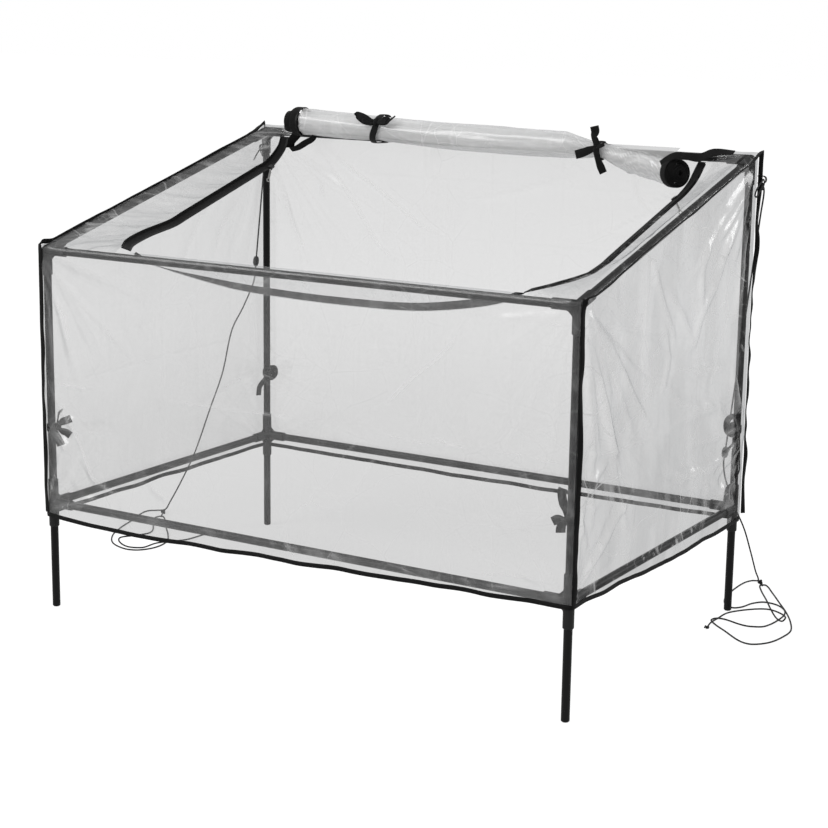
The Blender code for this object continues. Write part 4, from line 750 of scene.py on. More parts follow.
def film_wall(panel, material, spacing):
    start, end, outward = panel_line(panel)
    width = (end - start).length
    columns, rows = int(width / spacing), int(ROWS_COVER.get(panel, ROWS_COVER["other"]) / spacing)
    # The front and the back wall end in rows that go round their top rail
    sign, round_rows = ROWS.get(panel), 10 if panel in ROWS else 0
    rail_z = FRONT_Z if panel == "front" else BACK_Z
    base, flat, mask = [], [], []
    hems = [hem_point(panel, j / columns) for j in range(columns + 1)]
    for i in range(rows + 1 + round_rows):
        v = min(1.0, i / rows)
        for j, foot in enumerate(hems):
            u = j / columns
            bottom = foot.z + HEM_HEIGHT / 2 + 0.0002
            above = start.lerp(end, u)
            point = above.copy()
            if sign is None:
                top = roof_height(point.y) - edge_drop(panel, point.y)
                z = bottom + (top - bottom) * v
            else:
                z = bottom + (rail_z - bottom) * v
            if i > rows:
                # Square at the wall's ends, where the corner's seam is
                edge = float(smoothstep(0.0, 0.04, min(u, 1 - u)))
                angle = math.pi / 4 * (i - rows) / round_rows
                square_z = rail_z + (roof_height(point.y) - rail_z) * (i - rows) / round_rows
                y = sign * HALF_Y + sign * OFFSET * math.cos(angle)
                point.y = y * edge + sign * COVER_Y * (1 - edge)
                z = (rail_z + OFFSET * math.sin(angle)) * edge + square_z * (1 - edge)
            point.z = z
            base.append(point + outward * outward.dot(foot - above) * math.exp(-(z - bottom) / HEM_REACH))
            flat.append((point.x if sign else point.y, z))
            near_top = smoothstep(0.0, 0.035, (rail_z if sign else roof_height(point.y) - 0.010) - z)
            near_low = smoothstep(0.0, 0.05, z - bottom)
            mask.append(math.sqrt(min(1.0, 30 * min(u, 1 - u))) * near_top * (0.35 + 0.65 * near_low))
    base, flat, mask = np.array([tuple(p) for p in base]), np.array(flat), np.array(mask)
    rise, white = wall_folds(panel, flat)
    rise = rise * mask
    # The film can't go into the posts and the rail behind it
    from_post = np.abs(flat[:, 0]) - (HALF_X if sign else HALF_Y)
    tubes = closeness(from_post, 0.010, 0.040), closeness(flat[:, 1] - BASE_Z, 0.010, 0.040)
    rise = np.clip(np.where(rise < 0, rise * (1 - tubes[0]) * (1 - tubes[1]), rise), DEEPEST, HIGHEST)
    points = base + np.array(outward)[None] * rise[:, None]
    white = white * np.minimum(1.0, mask * 3)
    if panel != "left":
        white = white + lying_on_tubes(panel, flat, points, mask)
    shape = (rows + 1 + round_rows, columns + 1)
    white = np.minimum(white, WHITEST).reshape(shape)
    obj = film_sheet(f"film_{panel}", points.reshape(*shape, 3), material, white)
    finished(obj, [f"cover_{panel}"])
    height = float(points[:, 2].max() - points[:, 2].min())
    area = float(np.mean([roof_height(p[1]) for p in base]) - HEM_LEVEL) * width


# ---------------------------------------------------------------- film of the roof's margins
OVER_RAIL = 0.16  # share of a side margin's columns from the seam to the rail's inner edge
MARGIN_COLUMNS = 35
MARGINS = {"left": (0.130, 0.22, 1.0), "right": (0.115, 0.50, 2.6)}  # flat width, painted streaks of light and clearness on the rail


def film_margin(side, material):
    x_sign = SIDES[side]
    flat_width, strip, depth = MARGINS[side]
    line = zip_line(side)
    inner = line - zip_across(side, line) * (TAPE_WIDTH / 2 + TAPE_GAP)
    ends = COVER_Y - INSET
    first, last = inner[0], inner[-1]
    # The inner edge of each row, and whether the film hangs free there
    stations = []
    for k in range(6):
        y = -ends + (first[1] + ends) * k / 6
        stations.append((first[0], y, roof_height(y) + (first[2] - roof_height(y)) * k / 6, True))
    stations += [(x, min(max(y, -ends), ends), z, True) for x, y, z in inner]
    back_path = [
        (last[1], last[2]), (HALF_Y - 0.0120, BACK_Z - 0.0050), (HALF_Y - 0.0120, BACK_Z + 0.0020),
        (HALF_Y - 0.0085, BACK_Z + 0.0090), (HALF_Y, roof_height(HALF_Y)), (ends, roof_height(ends)),
    ]
    for (y0, z0), (y1, z1) in zip(back_path, back_path[1:]):
        for t in (0.2, 0.4, 0.6, 0.8, 1.0):
            stations.append((last[0], y0 + (y1 - y0) * t, z0 + (z1 - z0) * t, False))
    points, mask = [], []
    for x, y, z, free in stations:
        outer = np.array([x_sign * (COVER_X - INSET), y, roof_height(y) - edge_drop(side, y)])
        crest = np.array([x_sign * (HALF_X - TUBE_R), y, roof_height(y)])
        sag = 0.010 * math.sin(math.pi * clipped((y + COVER_Y) / (2 * COVER_Y))) if free else 0.0
        for k in range(MARGIN_COLUMNS):
            t = k / (MARGIN_COLUMNS - 1)
            if t < OVER_RAIL:
                s = t / OVER_RAIL
                p = outer + (crest - outer) * s
                # It rounds over the rail instead of running flat
                p[2] = crest[2] - (crest[2] - outer[2]) * (1 - s) ** 3 + 0.0004 * math.sin(math.pi * s)
                mask.append(0.0)
            else:
                s = (t - OVER_RAIL) / (1 - OVER_RAIL)
                p = crest + (np.array([x, y, z]) - crest) * s
                p[2] -= sag * 4 * s * (1 - s)
                mask.append(min(1.0, 5 * s, 6 * (1 - s)) * (1.0 if free else 0.25))
            points.append(p)
    shape = (len(stations), MARGIN_COLUMNS)
    flat, mask = np.array(points), np.array(mask)
    x_out = flat[:, 0] * x_sign
    turned = np.column_stack([x_out * 34 + flat[:, 1] * 30, flat[:, 1] * 6 - x_out * 5, flat[:, 2] * 3])
    crest = patchy(turned * 1.25, 1.0, 4, 2.3, -0.55) + patchy(turned * 2.6, 1.0, 5, 2.3, -0.7) * 0.6
    crest = np.clip(crest + patchy(turned * 5.2, 1.0, 6, 2.6, -0.6) * 0.7, 0, 1)
    lift = 0.0030 * field(turned * 0.8, 1.0, 1) + 0.0018 * field(turned * 1.9, 1.0, 2) + 0.0010 * field(flat, 70.0, 3)
    flat[:, 2] += lift * mask
    contact = closeness(np.abs(flat[:, 0]) - HALF_X, 0.0060, 0.0110)
    if side == "right":
        at_tape = smoothstep(0.80, 0.90, np.linspace(0, 1, MARGIN_COLUMNS))
        contact = np.maximum(contact, np.tile(at_tape, len(stations)))
    # Painted highlights: streaks of light where the film lies on the rail and, at the right, by the tape
    white = crest * (np.clip(mask * 2, 0, 1) * 0.6 * (1 - contact) + contact * strip) - CONTACT * contact * depth
    obj = film_sheet(f"film_margin_{side}", flat.reshape(*shape, 3), material, white.reshape(shape))
    finished(obj, [f"roof_margin_{side}"])


def film_front_margin(material):
    line = zip_line("front")
    across = zip_across("front", line)
    inner = line - across * (TAPE_WIDTH / 2 + TAPE_GAP * 1.5)
    rows, mask = [], []
    for t in np.linspace(0, 1, 12):
        angle = math.radians(45 + 55 * t)
        y0, z0 = -HALF_Y - OFFSET * math.cos(angle), FRONT_Z + OFFSET * math.sin(angle)
        rows.append([(p[0], y0, z0) for p in inner])
        mask.append(0.0)
    for t in np.linspace(0, 1, 15)[1:]:
        row = []
        for p in inner:
            y, z = y0 + (p[1] - y0) * t, z0 + (p[2] - z0) * t
            over_rail = FRONT_Z + 0.0092 - max(0.0, (y + HALF_Y - 0.006)) * 1.6
            row.append((p[0], y + 0.0015 * math.sin(math.pi * t), max(z, min(z0, over_rail)) if t < 0.6 else z))
        rows.append(row)
        mask.append(min(1.0, 4 * t, 4 * (1 - t)))
    # It goes on under the tape
    normal = np.cross(across, np.gradient(line, axis=0))
    normal *= np.sign(-normal[:, 1:2] + 1e-9) / np.linalg.norm(normal, axis=1)[:, None]
    for t in np.linspace(0, 1, 5)[1:]:
        rows.append(inner + across * (TAPE_WIDTH * 1.08) * t + normal * 0.0022 * min(1.0, 4 * t))
        mask.append(0.0)
    shape = (len(rows), len(inner))
    flat, mask = np.array(rows).reshape(-1, 3), np.repeat(mask, len(inner))
    flat[:, 1] += 0.0030 * field(flat * (26.0, 8.0, 8.0), 1.0, 9) * mask * 0.6
    crest = patchy(flat * (40.0, 12.0, 12.0), 1.0, 10, 2, -0.5)
    contact = closeness(flat[:, 1] + HALF_Y, 0.0060, 0.0110)
    # Painted highlights: streaks of light where the film lies on the front rail
    streak = patchy(flat * (60.0, 30.0, 30.0), 1.0, 11, 3, -0.8)
    white = crest * mask * 0.5 + (0.25 * streak - CONTACT) * contact
    obj = film_sheet("film_margin_front", flat.reshape(*shape, 3), material, white.reshape(shape))
    finished(obj, ["roof_margin_front"])
    width = float(inner[-1, 0] - inner[0, 0]) + 0.01


# ---------------------------------------------------------------- rolled door
# x, height and radius along the roll
ROLL = (
    -455, 966, 30, -360, 963, 30, -270, 960, 29, -100, 953, 29, 60, 951, 29, 200, 950, 28, 266, 943, 17, 290, 940, 17,
    340, 925, 25, 435, 905, 28,
)
ROLL_TIE_X = {"left": -0.268, "right": 0.278}
TURNS, STEPS = 3.4, 34  # of the rolled film, and points per turn
COIL_STEPS = 44  # points per turn of a wound tape
ROLL_REACH, ROLL_LEVEL = 0.0385, 0.030  # from the back rail's centre to the roll's, and the least of it in Y


def roll_at(x):
    """Centre y and z, radius, the angle at which the film comes in, and how low the roll hangs, from 0 to 1."""
    table = np.array(grouped(ROLL, 3))
    z, outer = (float(np.interp(x, table[:, 0], table[:, a])) for a in (1, 2))
    y = HALF_Y - max(math.sqrt(max(ROLL_REACH**2 - (z - BACK_Z) ** 2, 0.0)), ROLL_LEVEL)
    low = clipped((BACK_Z + 0.012 - z) / 0.046)
    return y, z, outer, math.radians(40) + math.radians(55) * low, low


def roll_tail(low):
    """Where the film runs from the roof's back edge over the rail, as (y, z)."""
    lean = math.radians(15 + 40 * low)
    return [
        (COVER_Y - INSET, roof_height(COVER_Y)), (HALF_Y, BACK_Z + ON_RAIL),
        (HALF_Y - ON_RAIL * math.sin(lean), BACK_Z + ON_RAIL * math.cos(lean)),
    ]


def rolled_door(material):
    grid, whitening_and_painted_light = [], []
    count = int(TURNS * STEPS)
    for x in np.concatenate([np.arange(-0.462, 0.435, 0.0045), [0.435]]):
        y, z, outer, start, low = roll_at(x)
        first = (0, y + outer * math.cos(start), z + outer * math.sin(start))
        tail = spline([(0, a, b) for a, b in roll_tail(low)] + [first], count=16)[:-1]
        row, marks = [(x, p[1], p[2]) for p in tail], [0.0] * len(tail)
        tied = max(bell(x, -0.260, 0.022), bell(x, 0.278, 0.016))
        loose = 1 - tied
        twist = 7.0 * bell(x, 0.345, 0.09) if x > 0.26 else 0.0
        end = math.exp(-(x + 0.455) / 0.030) + 0.8 * bell(x, 0.225, 0.020) + 0.5 * float(x > 0.29)
        # Painted light and shade: the film is whiter at the roll's left end and less white towards its right end
        tone = 0.05 - 0.13 * float(smoothstep(-0.10, 0.30, x))
        for k in range(count + 1):
            angle, share = start + math.tau * k / STEPS, k / count
            lag = angle + twist * (x - 0.26) / 0.2
            dent, crinkle, fine, long, ragged = (
                wave(x * a, math.cos(lag) * b + share * c, math.sin(lag) * b)
                for a, b, c in ((3.5, 2.6, 9), (9.0, 5.5, 15), (30.0, 13, 31), (2.2, 8, 21), (70, 11, 31))
            )
            radius = outer * (1 - 0.70 * share)
            pleat = math.cos(lag * 9 + 3 * wave(x * 20, 0, 0)) * tied
            radius += (0.0030 * dent - 0.0008 + 0.0014 * crinkle + 0.0006 * fine) * loose
            radius = min(radius + 0.0006 * pleat - 0.0006 * tied, outer + 0.0021 * loose + 0.0002)
            if k < STEPS * 1.2:
                belly = 0.0042 * max(0.0, -math.sin(angle)) ** 3 * loose
                radius += belly * (0.6 + 0.4 * wave(x * 6, 0, 3))
            if k > 3:
                radius += 0.0016 * ragged * min(1.0, end)
            row.append((x, y + radius * math.cos(angle), z + radius * math.sin(angle)))
            mark = clipped(3.0 * (crinkle - 0.12)) * 0.45 + clipped(2.5 * (fine - 0.2)) * (0.20 + 0.5 * end)
            marks.append(min(1.0, mark + clipped(4.0 * (long - 0.10)) * 0.45 + 0.25 * tied + tone))
        grid.append(row)
        whitening_and_painted_light.append(marks)
    points = np.array(grid)
    obj = film_sheet("film_roll", points, material, np.array(whitening_and_painted_light))
    finished(obj, ["door_roll"])


# ---------------------------------------------------------------- ribbons and knots
def ribbon(name, points, across, width, thickness, material, spacing, closed=False, pinch=None):
    """A flat band on a smooth line. across is one direction or one for each given point."""
    line = spline(points, spacing=spacing, closed=closed)
    goal = np.linspace(0, 1, len(line))
    across = np.asarray(across, float)
    if across.ndim == 2:
        across = interpolated(goal, np.linspace(0, 1, len(across)), across)
    profile = np.array(band_profile(width, thickness, 0.0003))
    if pinch is not None:
        size = np.interp(goal, np.linspace(0, 1, len(pinch)), pinch)
        profile = profile[None] * np.stack([size, 1 + (1 - size) * 1.2], 1)[:, None]
    return loft(name, line, across, profile, material, closed)


def knot_pieces(name, centre, out, along, material, size=1.0):
    """A pulled-tight ribbon knot: one wrap across the band, two rounded folds beside it and a core."""
    c, out, along = Vector(centre), Vector(out).normalized(), Vector(along).normalized()
    side = out.cross(along).normalized()
    loops = [("wrap", side, 0.0095, 0.0016, [
        c + along * a * 0.0052 * size + out * b * 0.0046 * size for a, b in on_circle(14)
    ])]
    for sign in (-1, 1):
        loops.append((f"fold{sign}", side, 0.0060, 0.0020, [
            c + side * sign * 0.0042 * size + along * a * 0.0034 * size + out * (b * 0.0034 - 0.0006) * size
            + side * b * 0.0012 * sign for a, b in on_circle(12)
        ]))
    loops.append(("core", along, 0.0050, 0.0026, [
        c + side * a * 0.0040 * size + out * b * 0.0022 * size for a, b in on_circle(12)
    ]))
    return [
        ribbon(f"{name}_{part}", line, across, width * size, thickness, material, 0.0012, True)
        for part, across, width, thickness, line in loops
    ]


def drawn(origin, aim, steps):
    """Points given as picture steps right and up of the origin and millimetres towards the viewer. The steps to the
    side are taken along aim."""
    origin, aim = Vector(origin), Vector(aim).normalized()
    step = (EYE - origin).dot(VIEW_BACK) / FOCAL
    sideways = aim / aim.dot(VIEW_RIGHT)
    return [
        origin + sideways * a * step + Vector((0, 0, b * step / UPRIGHT_SEEN)) + VIEW_BACK * c * 0.001
        for a, b, c in grouped(steps, 3, 1)
    ]


def facing(path, twists):
    """Width directions along a path: 0 shows a band's face to the viewer and 90 its edge."""
    result = []
    for k, twist in enumerate(twists):
        tangent = (path[min(k + 1, len(path) - 1)] - path[max(k - 1, 0)]).normalized()
        side = tangent.cross(VIEW_BACK).normalized()
        depth = side.cross(tangent).normalized()
        result.append(tuple(side * math.cos(math.radians(twist)) + depth * math.sin(math.radians(twist))))
    return result


def free_ends(name, origin, table, material):
    """Loose ends drawn after the photograph. A row of the table holds the direction of the steps to the side, the
    width in tenths of a millimetre, the steps, the twists in degrees and the share of the width in percent."""
    made = []
    for number, (aim, width, steps, twists, pinch) in enumerate(table):
        path, pinch = drawn(origin, aim, steps), [p / 100 for p in pinch]
        across = facing(path, twists)
        part = f"{name}{number}"
        made.append(ribbon(part, path, across, width / 10000, RIBBON_THICKNESS, material, 0.0018, False, pinch))
    return made


# ---------------------------------------------------------------- zips
def teeth_along(name, line, across, sign, material, pitch=0.0030):
    """Interlocking moulded teeth on one edge of a tape, on its near side (-1) or its far side (1)."""
    run = distances(line)
    goal = np.arange(pitch / 2, run[-1], pitch)
    centre = interpolated(goal, run, line)
    tangent = tangents(centre)
    side = squared(interpolated(goal, run, across), tangent)
    root, tall = TAPE_WIDTH / 2 - 0.0042, 0.0012
    shape = [(root, 0.0009), (root + 0.0024, 0.0007), (root + 0.0030, 0.0011), (TAPE_WIDTH / 2 - 0.0002, 0.0008)]
    points, faces = [], []
    for c, s, t, n in zip(centre, side, tangent, np.cross(tangent, side)):
        base = len(points)
        for a, half in shape:
            for x, y in ((-half, -1), (half, -1), (half, 1), (-half, 1)):
                points.append(c + s * a * sign + t * x + n * (y * tall * 0.8))
        for k in range(base, base + 12, 4):
            faces += [(k + j, k + (j + 1) % 4, k + 4 + (j + 1) % 4, k + 4 + j) for j in range(4)]
        faces += [(base + 3, base + 2, base + 1, base), (base + 12, base + 13, base + 14, base + 15)]
    return new_object(name, points, faces, material, (), smooth=False)


# Loose ends of the wound tapes, in picture steps from the roll's end
TAPE_ENDS = {
    "left": (
        (ALONG, 200, (-6, -8, 8, -12, -15, 10, -17, -21, 8, -18, -26, 4), (15, 20, 20, 25), (100, 100, 100, 100)),
        (ALONG, 200, (8, -12, 4, 6, -16, 6, -2, -21, 7, -10, -26, 6, -17, -28, 4), (40, 35, 45, 50, 50),
         (60, 80, 85, 80, 70)),
    ),
    "right": (
        (ALONG, 200, (-12, 6, 22, -4, 13, 24, 3, 16, 20, 14, 16, 12, 24, 16, 8, 36, 21, 14, 54, 22, 16),
         (30, 40, 35, 20, 25, 40, 50), (90, 90, 90, 100, 100, 90, 70)),
    ),
}


def rolled_tapes(material):
    for side, x, turns, thickness in (("left", -0.455, 2.75, 0.0013), ("right", 0.435, 11.0, 0.0019)):
        y, z, outer, start, _ = roll_at(x)
        centre = Vector((x, y, z))
        if side == "left":
            axis, sideways, upright, offset = Vector((-1, 0, 0)), Vector((0, 1, 0)), UP, 1
        else:
            # The free end has turned its open coil towards the front
            axis = Vector((0.80, -0.58, 0.06)).normalized()
            sideways = UP.cross(axis).normalized()
            upright, offset = axis.cross(sideways), 0.6
            centre += Vector((0.004, -0.006, 0.0))
        count = int(turns * COIL_STEPS)
        line = []
        for k in range(count + 1):
            angle, share = start + math.tau * k / COIL_STEPS, k / count
            if side == "left":
                # Two blunt bands: the outer turns on the film and the inner ones pushed out beyond them
                slip = float(smoothstep(0.42, 0.56, share))
                inner = (0.0240 - 0.010 * max(0.0, share - 0.56)) * slip
                radius = (outer + 0.0016 - 0.002 * share) * (1 - slip) + inner
                drift = 0.0205 * slip + 0.003 * share + 0.007
            else:
                radius = outer + 0.002 + (0.0030 - outer) * share**0.85
                drift = 0.013 * share + 0.004
            radius += 0.0012 * wave(angle * 0.8, x * 10, 0.0) * min(1.0, 8 * share)
            wobble = 0.0018 * wave(angle * 0.7, 5.0, x * 10)
            at = centre + axis * (0.0005 + drift + TAPE_WIDTH / 2 * offset + wobble)
            line.append(tuple(at + sideways * radius * math.cos(angle) + upright * radius * math.sin(angle)))
        line, across = np.array(line), np.tile(tuple(axis), (count + 1, 1))
        pieces = [
            loft(f"coil_{side}", line, across, band_profile(TAPE_WIDTH, thickness, 0.0003), material),
            teeth_along(f"coil_teeth_{side}", line, across, -1, MOULDED_ZIP),
        ]
        pieces += free_ends(f"tape_end_{side}", centre, TAPE_ENDS[side], material)
        finished(joined(f"zip_coil_{side}", pieces), [f"door_tape_{side}"])


def zip_tapes(material):
    for side in ("left", "right", "front"):
        line = zip_line(side)
        count = len(line)
        across = zip_across(side, line)
        share = np.linspace(0, 1, count)
        ripple = waves(line, 26) * 0.0010 + waves(line, 9, (3, 0, 0)) * 0.0016
        if side != "front":
            ripple *= 0.25 + 0.75 * (share < 0.30)
        line = line + unit(np.cross(across, np.gradient(line, axis=0))) * (ripple * 0.35)[:, None]
        pieces = [
            loft(f"tape_{side}", line, across, band_profile(TAPE_WIDTH, 0.0009, 0.0001), material),
            teeth_along(f"teeth_{side}", line, across, 1, MOULDED_ZIP),
        ]
        if side != "front":
            # A folded edging, up on the left tape and down on the right one
            stand = -SIDES[side]
            turn = waves(line, 7) * 0.5
            way = np.column_stack([stand * (0.15 + turn), np.zeros(count), np.full(count, float(stand))])
            edge = line - across * (TAPE_WIDTH / 2 - 0.001) + np.array([0, 0, stand]) * 0.0036
            size = 0.35 + 0.65 * smoothstep(0.0, 0.15, share) * smoothstep(0.0, 0.12, 1 - share)
            profile = np.array(band_profile(0.0072, 0.0010, 0.0003))[None]
            profile = profile * np.stack([size, np.ones(count)], 1)[:, None]
            pieces.append(loft(f"edging_{side}", edge, way, profile, BIAS))
        finished(joined(f"zip_strip_{side}", pieces), [f"zip_tape_{side}"])


# ---------------------------------------------------------------- bindings
def hem(material):
    line = []
    for panel in PANELS:
        start, end, _ = panel_line(panel)
        trim = 0.004 / (end - start).length
        count = int((end - start).length / 0.009)
        line += [tuple(hem_point(panel, trim + (1 - 2 * trim) * k / count)) for k in range(count + 1)]
    line = np.array(line)
    upright = np.tile([0.0, 0.0, 1.0], (len(line), 1))
    across = upright + np.cross(tangents(line, True), upright) * (waves(line, 13) * 0.14)[:, None]
    obj = loft("bound_hem", line, across, band_profile(HEM_HEIGHT, 0.0012, 0.0004), material, closed=True)
    finished(obj, ["hem_binding"])


# How a side's seam lies on its front edge, on the roof and on its back edge: folded over against the front wall at
# the left and against the side wall at the right. Then how much it twists there, and how far it lies over at the back.
SEAM_WAYS = {
    "left": ((0.995, -0.10, 0.0), (0.05, 0.0, 1.0), (0.60, 0.80, 0.0)),
    "right": ((0.16, 0.98, 0.0), (0.80, 0.0, 0.60), (0.10, 0.99, 0.0)),
}
SEAM_TWIST = {"left": (0.45, 0.25, 0.3), "right": (0.6, 0.25, 1.1)}
SEAM_LIE = {"left": 1.0, "right": 0.45}
SEAM_FOOT = {"left": 0.0, "right": 0.006}  # how far the seam ends above the hem at the back
SEAM_BEND = 0.018  # length over which it turns from one way to the next


def anchor_root(x_sign):
    """Where a back corner's webbing loop leaves the seam."""
    corner = Vector((x_sign * COVER_X, COVER_Y, roof_height(COVER_Y) - 0.054))
    return corner + Vector((x_sign, 1, 0)).normalized() * BINDING_WIDTH * 0.6


def between(a, b, share):
    return (a * (1 - share) + b * share).normalized()


def seam_path(side):
    """Centre line of a side wall's bound seam and its width direction."""
    x_sign = SIDES[side]
    at_start, at_end = (0.0, 1.0) if side == "left" else (1.0, 0.0)
    above_hem = HEM_HEIGHT / 2 + SEAM_GAP
    corners = [
        (-COVER_Y, hem_point("front", at_start).z + above_hem), (-COVER_Y, roof_height(-COVER_Y)),
        (COVER_Y, roof_height(COVER_Y)), (COVER_Y, hem_point("back", at_end).z + above_hem + SEAM_FOOT[side]),
    ]
    middle = SEAM_GAP + FILM / 2 + BINDING_WIDTH / 2
    ways = [Vector(way).normalized() for way in SEAM_WAYS[side]]
    points, across = [], []
    for k, ((y0, z0), (y1, z1)) in enumerate(zip(corners, corners[1:])):
        length = math.hypot(y1 - y0, z1 - z0)
        count = int(length / 0.008)
        for step in range(count + (1 if k == 2 else 0)):
            share = step / count
            root = Vector((x_sign * COVER_X, y0 + (y1 - y0) * share, z0 + (z1 - z0) * share))
            ease = min(1.0, 9 * share, 9 * (1 - share))
            way = ways[k]
            if k == 1:
                root.z -= edge_drop(side, root.y)
                over = Vector((x_sign * 0.9, 0, 0.10))
                way = between(way, over, float(smoothstep(0.90, 0.985, share)) * SEAM_LIE[side])
            if k == 2:
                ease *= float(smoothstep(0.02, 0.07, abs(root.z - anchor_root(x_sign).z)))
                way = between(Vector((x_sign, 1, 0)).normalized(), way, ease)
            if k and share * length < SEAM_BEND:
                way = between(ways[k - 1], way, 0.5 + 0.5 * share * length / SEAM_BEND)
            elif k < 2 and (1 - share) * length < SEAM_BEND:
                way = between(way, ways[k + 1], 0.5 * (1 - (1 - share) * length / SEAM_BEND))
            wander = noise.noise(root * 9 + Vector((0, 0, 9))) * 1.5 + noise.noise(root * 23) * 0.5
            axis = Vector((0, 1, 0)) if k == 1 else UP
            way = Matrix.Rotation(SEAM_TWIST[side][k] * wander * ease, 3, axis) @ way
            outside = Vector((x_sign, (-1, 0, 1)[k], 0)).normalized() * 0.0006
            p = root + way * middle + outside * (1 + abs(noise.noise(root * 12)) * 2 * ease)
            if k == 0:
                p.y -= 0.0010 * ease
            points.append(tuple(p))
            across.append(tuple(way))
    return np.array(points), np.array(across)


def seams(material, webbing):
    rise, reach = 0.007, 0.013
    half = [(-0.35, 1), (0.0, 1), (0.6, 1), (0.92, 0.62)]
    path = half + [(1.0, 0.0)] + [(a, -b) for a, b in reversed(half)]
    for side, x_sign in SIDES.items():
        line, across = seam_path(side)
        band = loft(f"seam_{side}", line, across, band_profile(BINDING_WIDTH, 0.0014, 0.0005), material)
        root = anchor_root(x_sign)
        loop = spline([root + Vector((x_sign * reach * a, 0, rise * b)) for a, b in path], spacing=0.0012)
        strap = loft(f"strap_{side}", loop, (0, 1, 0), band_profile(0.008, 0.0013, 0.0001), webbing)
        finished(joined(f"bound_seam_{side}", [band, strap]), [f"seam_binding_{side}"])


# ---------------------------------------------------------------- ties
# Free ends of the ties: see free_ends
INTO, ASKEW = (0.856, 0.516, 0), (0.6, 0.8, 0)
ROLL_ENDS = {
    "left": (
        (ALONG, 155, (-1, 0, 2, -6, 0, 4, -11, 2, 5, -16, 4, 5, -20, 5, 2, -16, 2, 0, -9, -1, 1, -1, -1, 2),
         (40, 12, 5, 10, 40, 10, 10, 40), (50, 95, 110, 105, 90, 105, 90, 50)),
        (ALONG, 145, (1, 0, 2, 5, 0, 5, 9, 2, 6, 12, 2, 4, 9, 0, 1, 5, -1, 0, 1, -1, 2), (40, 10, 5, 40, 10, 10, 40),
         (50, 85, 95, 90, 95, 80, 50)),
        (ALONG, 140, (2, -1, 3, 8, -1, 7, 13, 1, 6, 19, 6, 3), (40, 25, 45, 65), (50, 70, 50, 25)),
        (ALONG, 130, (-1, -1, 2, -5, -3, 5, -9, -2, 7, -14, 0, 8), (60, 30, 20, 35), (40, 60, 60, 70)),
    ),
    "right": (
        (ALONG, 175, (0, 1, 2, 0, 6, 4, -2, 11, 5, -1, 16, 5, -2, 21, 4), (20, 25, 50, 15, 5),
         (50, 80, 90, 100, 100)),
        (ALONG, 180, (0, 0, 4, -5, -2, 6, -11, -5, 7, -19, -8, 6), (25, 10, 5, 0), (60, 90, 100, 100)),
        (ALONG, 165, (0, 0, 4, 1, -6, 8, 3, -13, 9, 6, -20, 8, 8, -24, 6), (30, 15, 25, 5, 0), (50, 80, 90, 100, 95)),
        (ALONG, 120, (1, 1, 3, 4, 2, 4, 8, 4, 2), (30, 20, 10), (50, 80, 60)),
    ),
}
POST_ENDS = {
    "front_left": (
        (INTO, 155, (-8, 1, 12, -3, -5, 12, 1, -13, 9, 3, -18, 7), (55, 20, 0, 0), (70, 90, 100, 110)),
        (INTO, 155, (-1, 3, 4, 0, 9, 4, 1, 14, 4, 5, 18, 4), (60, 70, 65, 75), (50, 90, 100, 80)),
        (INTO, 155, (1, 3, 5, 5, 6, 4, 8, 7, 3, 13, 9, 2), (20, 5, 0, 0), (60, 100, 100, 100)),
        (INTO, 155, (1, -2, 5, 5, -4, 4, 8, -5, 4, 12, -8, 3), (20, 10, 25, 20), (50, 90, 100, 100)),
    ),
    "front_right": (
        (ALONG, 155, (-2, -2, 3, -4, 6, 5, -7, 16, 7, -8, 24, 6, -7, 28, 4), (50, 30, 0, 5, 10),
         (50, 70, 100, 100, 100)),
        (ALONG, 155, (-2, -3, 3, -7, -4, 6, -11, -4, 6, -16, -7, 5), (30, 10, 5, 0), (50, 100, 110, 100)),
        (ALONG, 155, (-3, -5, 4, -7, -9, 7, -8, -13, 7, -8, -17, 6), (20, 5, 0, 0), (60, 100, 110, 110)),
        (ALONG, 155, (1, -1, 3, 4, -6, 4, 4, -12, 4), (60, 40, 60), (50, 70, 80)),
    ),
    "back_left": (
        (ALONG, 155, (0.5, -4, 2, 5, -3, 4, 9, 2, 5, 8, 6, 4, 3, 6, 3), (30, 40, 55, 40, 30),
         (60, 100, 100, 100, 90)),
        (ASKEW, 155, (-1, -3, 6, -4, -7, 5, -8, -13, 3, -9, -21, 2), (30, 30, 45, 50), (60, 80, 90, 100)),
        (ALONG, 155, (0, -1, 3, 4, 2, 5, 7, 0, 4), (40, 20, 50), (50, 90, 80)),
    ),
    "back_right": (
        (INTO, 155, (8, 10, 7, 1, 13, 8, -4, 9, 7, -4, -1, 6, 1, -5, 7, 9, -2, 8), (60, 40, 15, 20, 40, 60),
         (80, 100, 90, 90, 100, 80)),
        (INTO, 155, (7, 4, 8, 2, 5, 9, -2, 2, 9, 0, -4, 9), (10, 5, 40, 30), (60, 80, 80, 80)),
        (INTO, 155, (8, -4, 8, 4, -12, 7, -1, -19, 5, -5, -24, 4), (70, 78, 50, 15), (40, 35, 50, 80)),
        (INTO, 155, (9, -10, 8, 10, -30, 8, 10, -42, 8, 4, -54, 7, 0, -60, 6, -1, -72, 5), (80, 84, 80, 72, 20, 10),
         (40, 50, 50, 60, 80, 90)),
    ),
}
TIE_SHIFT = {"front_left": -0.003, "front_right": -0.012, "back_left": -0.010, "back_right": 0.006}


def beside(points, distance):
    """A bent line moved to its right by the distance."""
    points = [np.array(p, float) for p in points]
    moved = []
    for before, here, after in zip(points, points[1:], points[2:]):
        first, second = unit(here - before), unit(after - here)
        aside = unit(np.array([first[1] + second[1], -first[0] - second[0]]))
        moved.append(here + aside * distance / max(0.5, aside @ np.array([first[1], -first[0]])))
    return moved


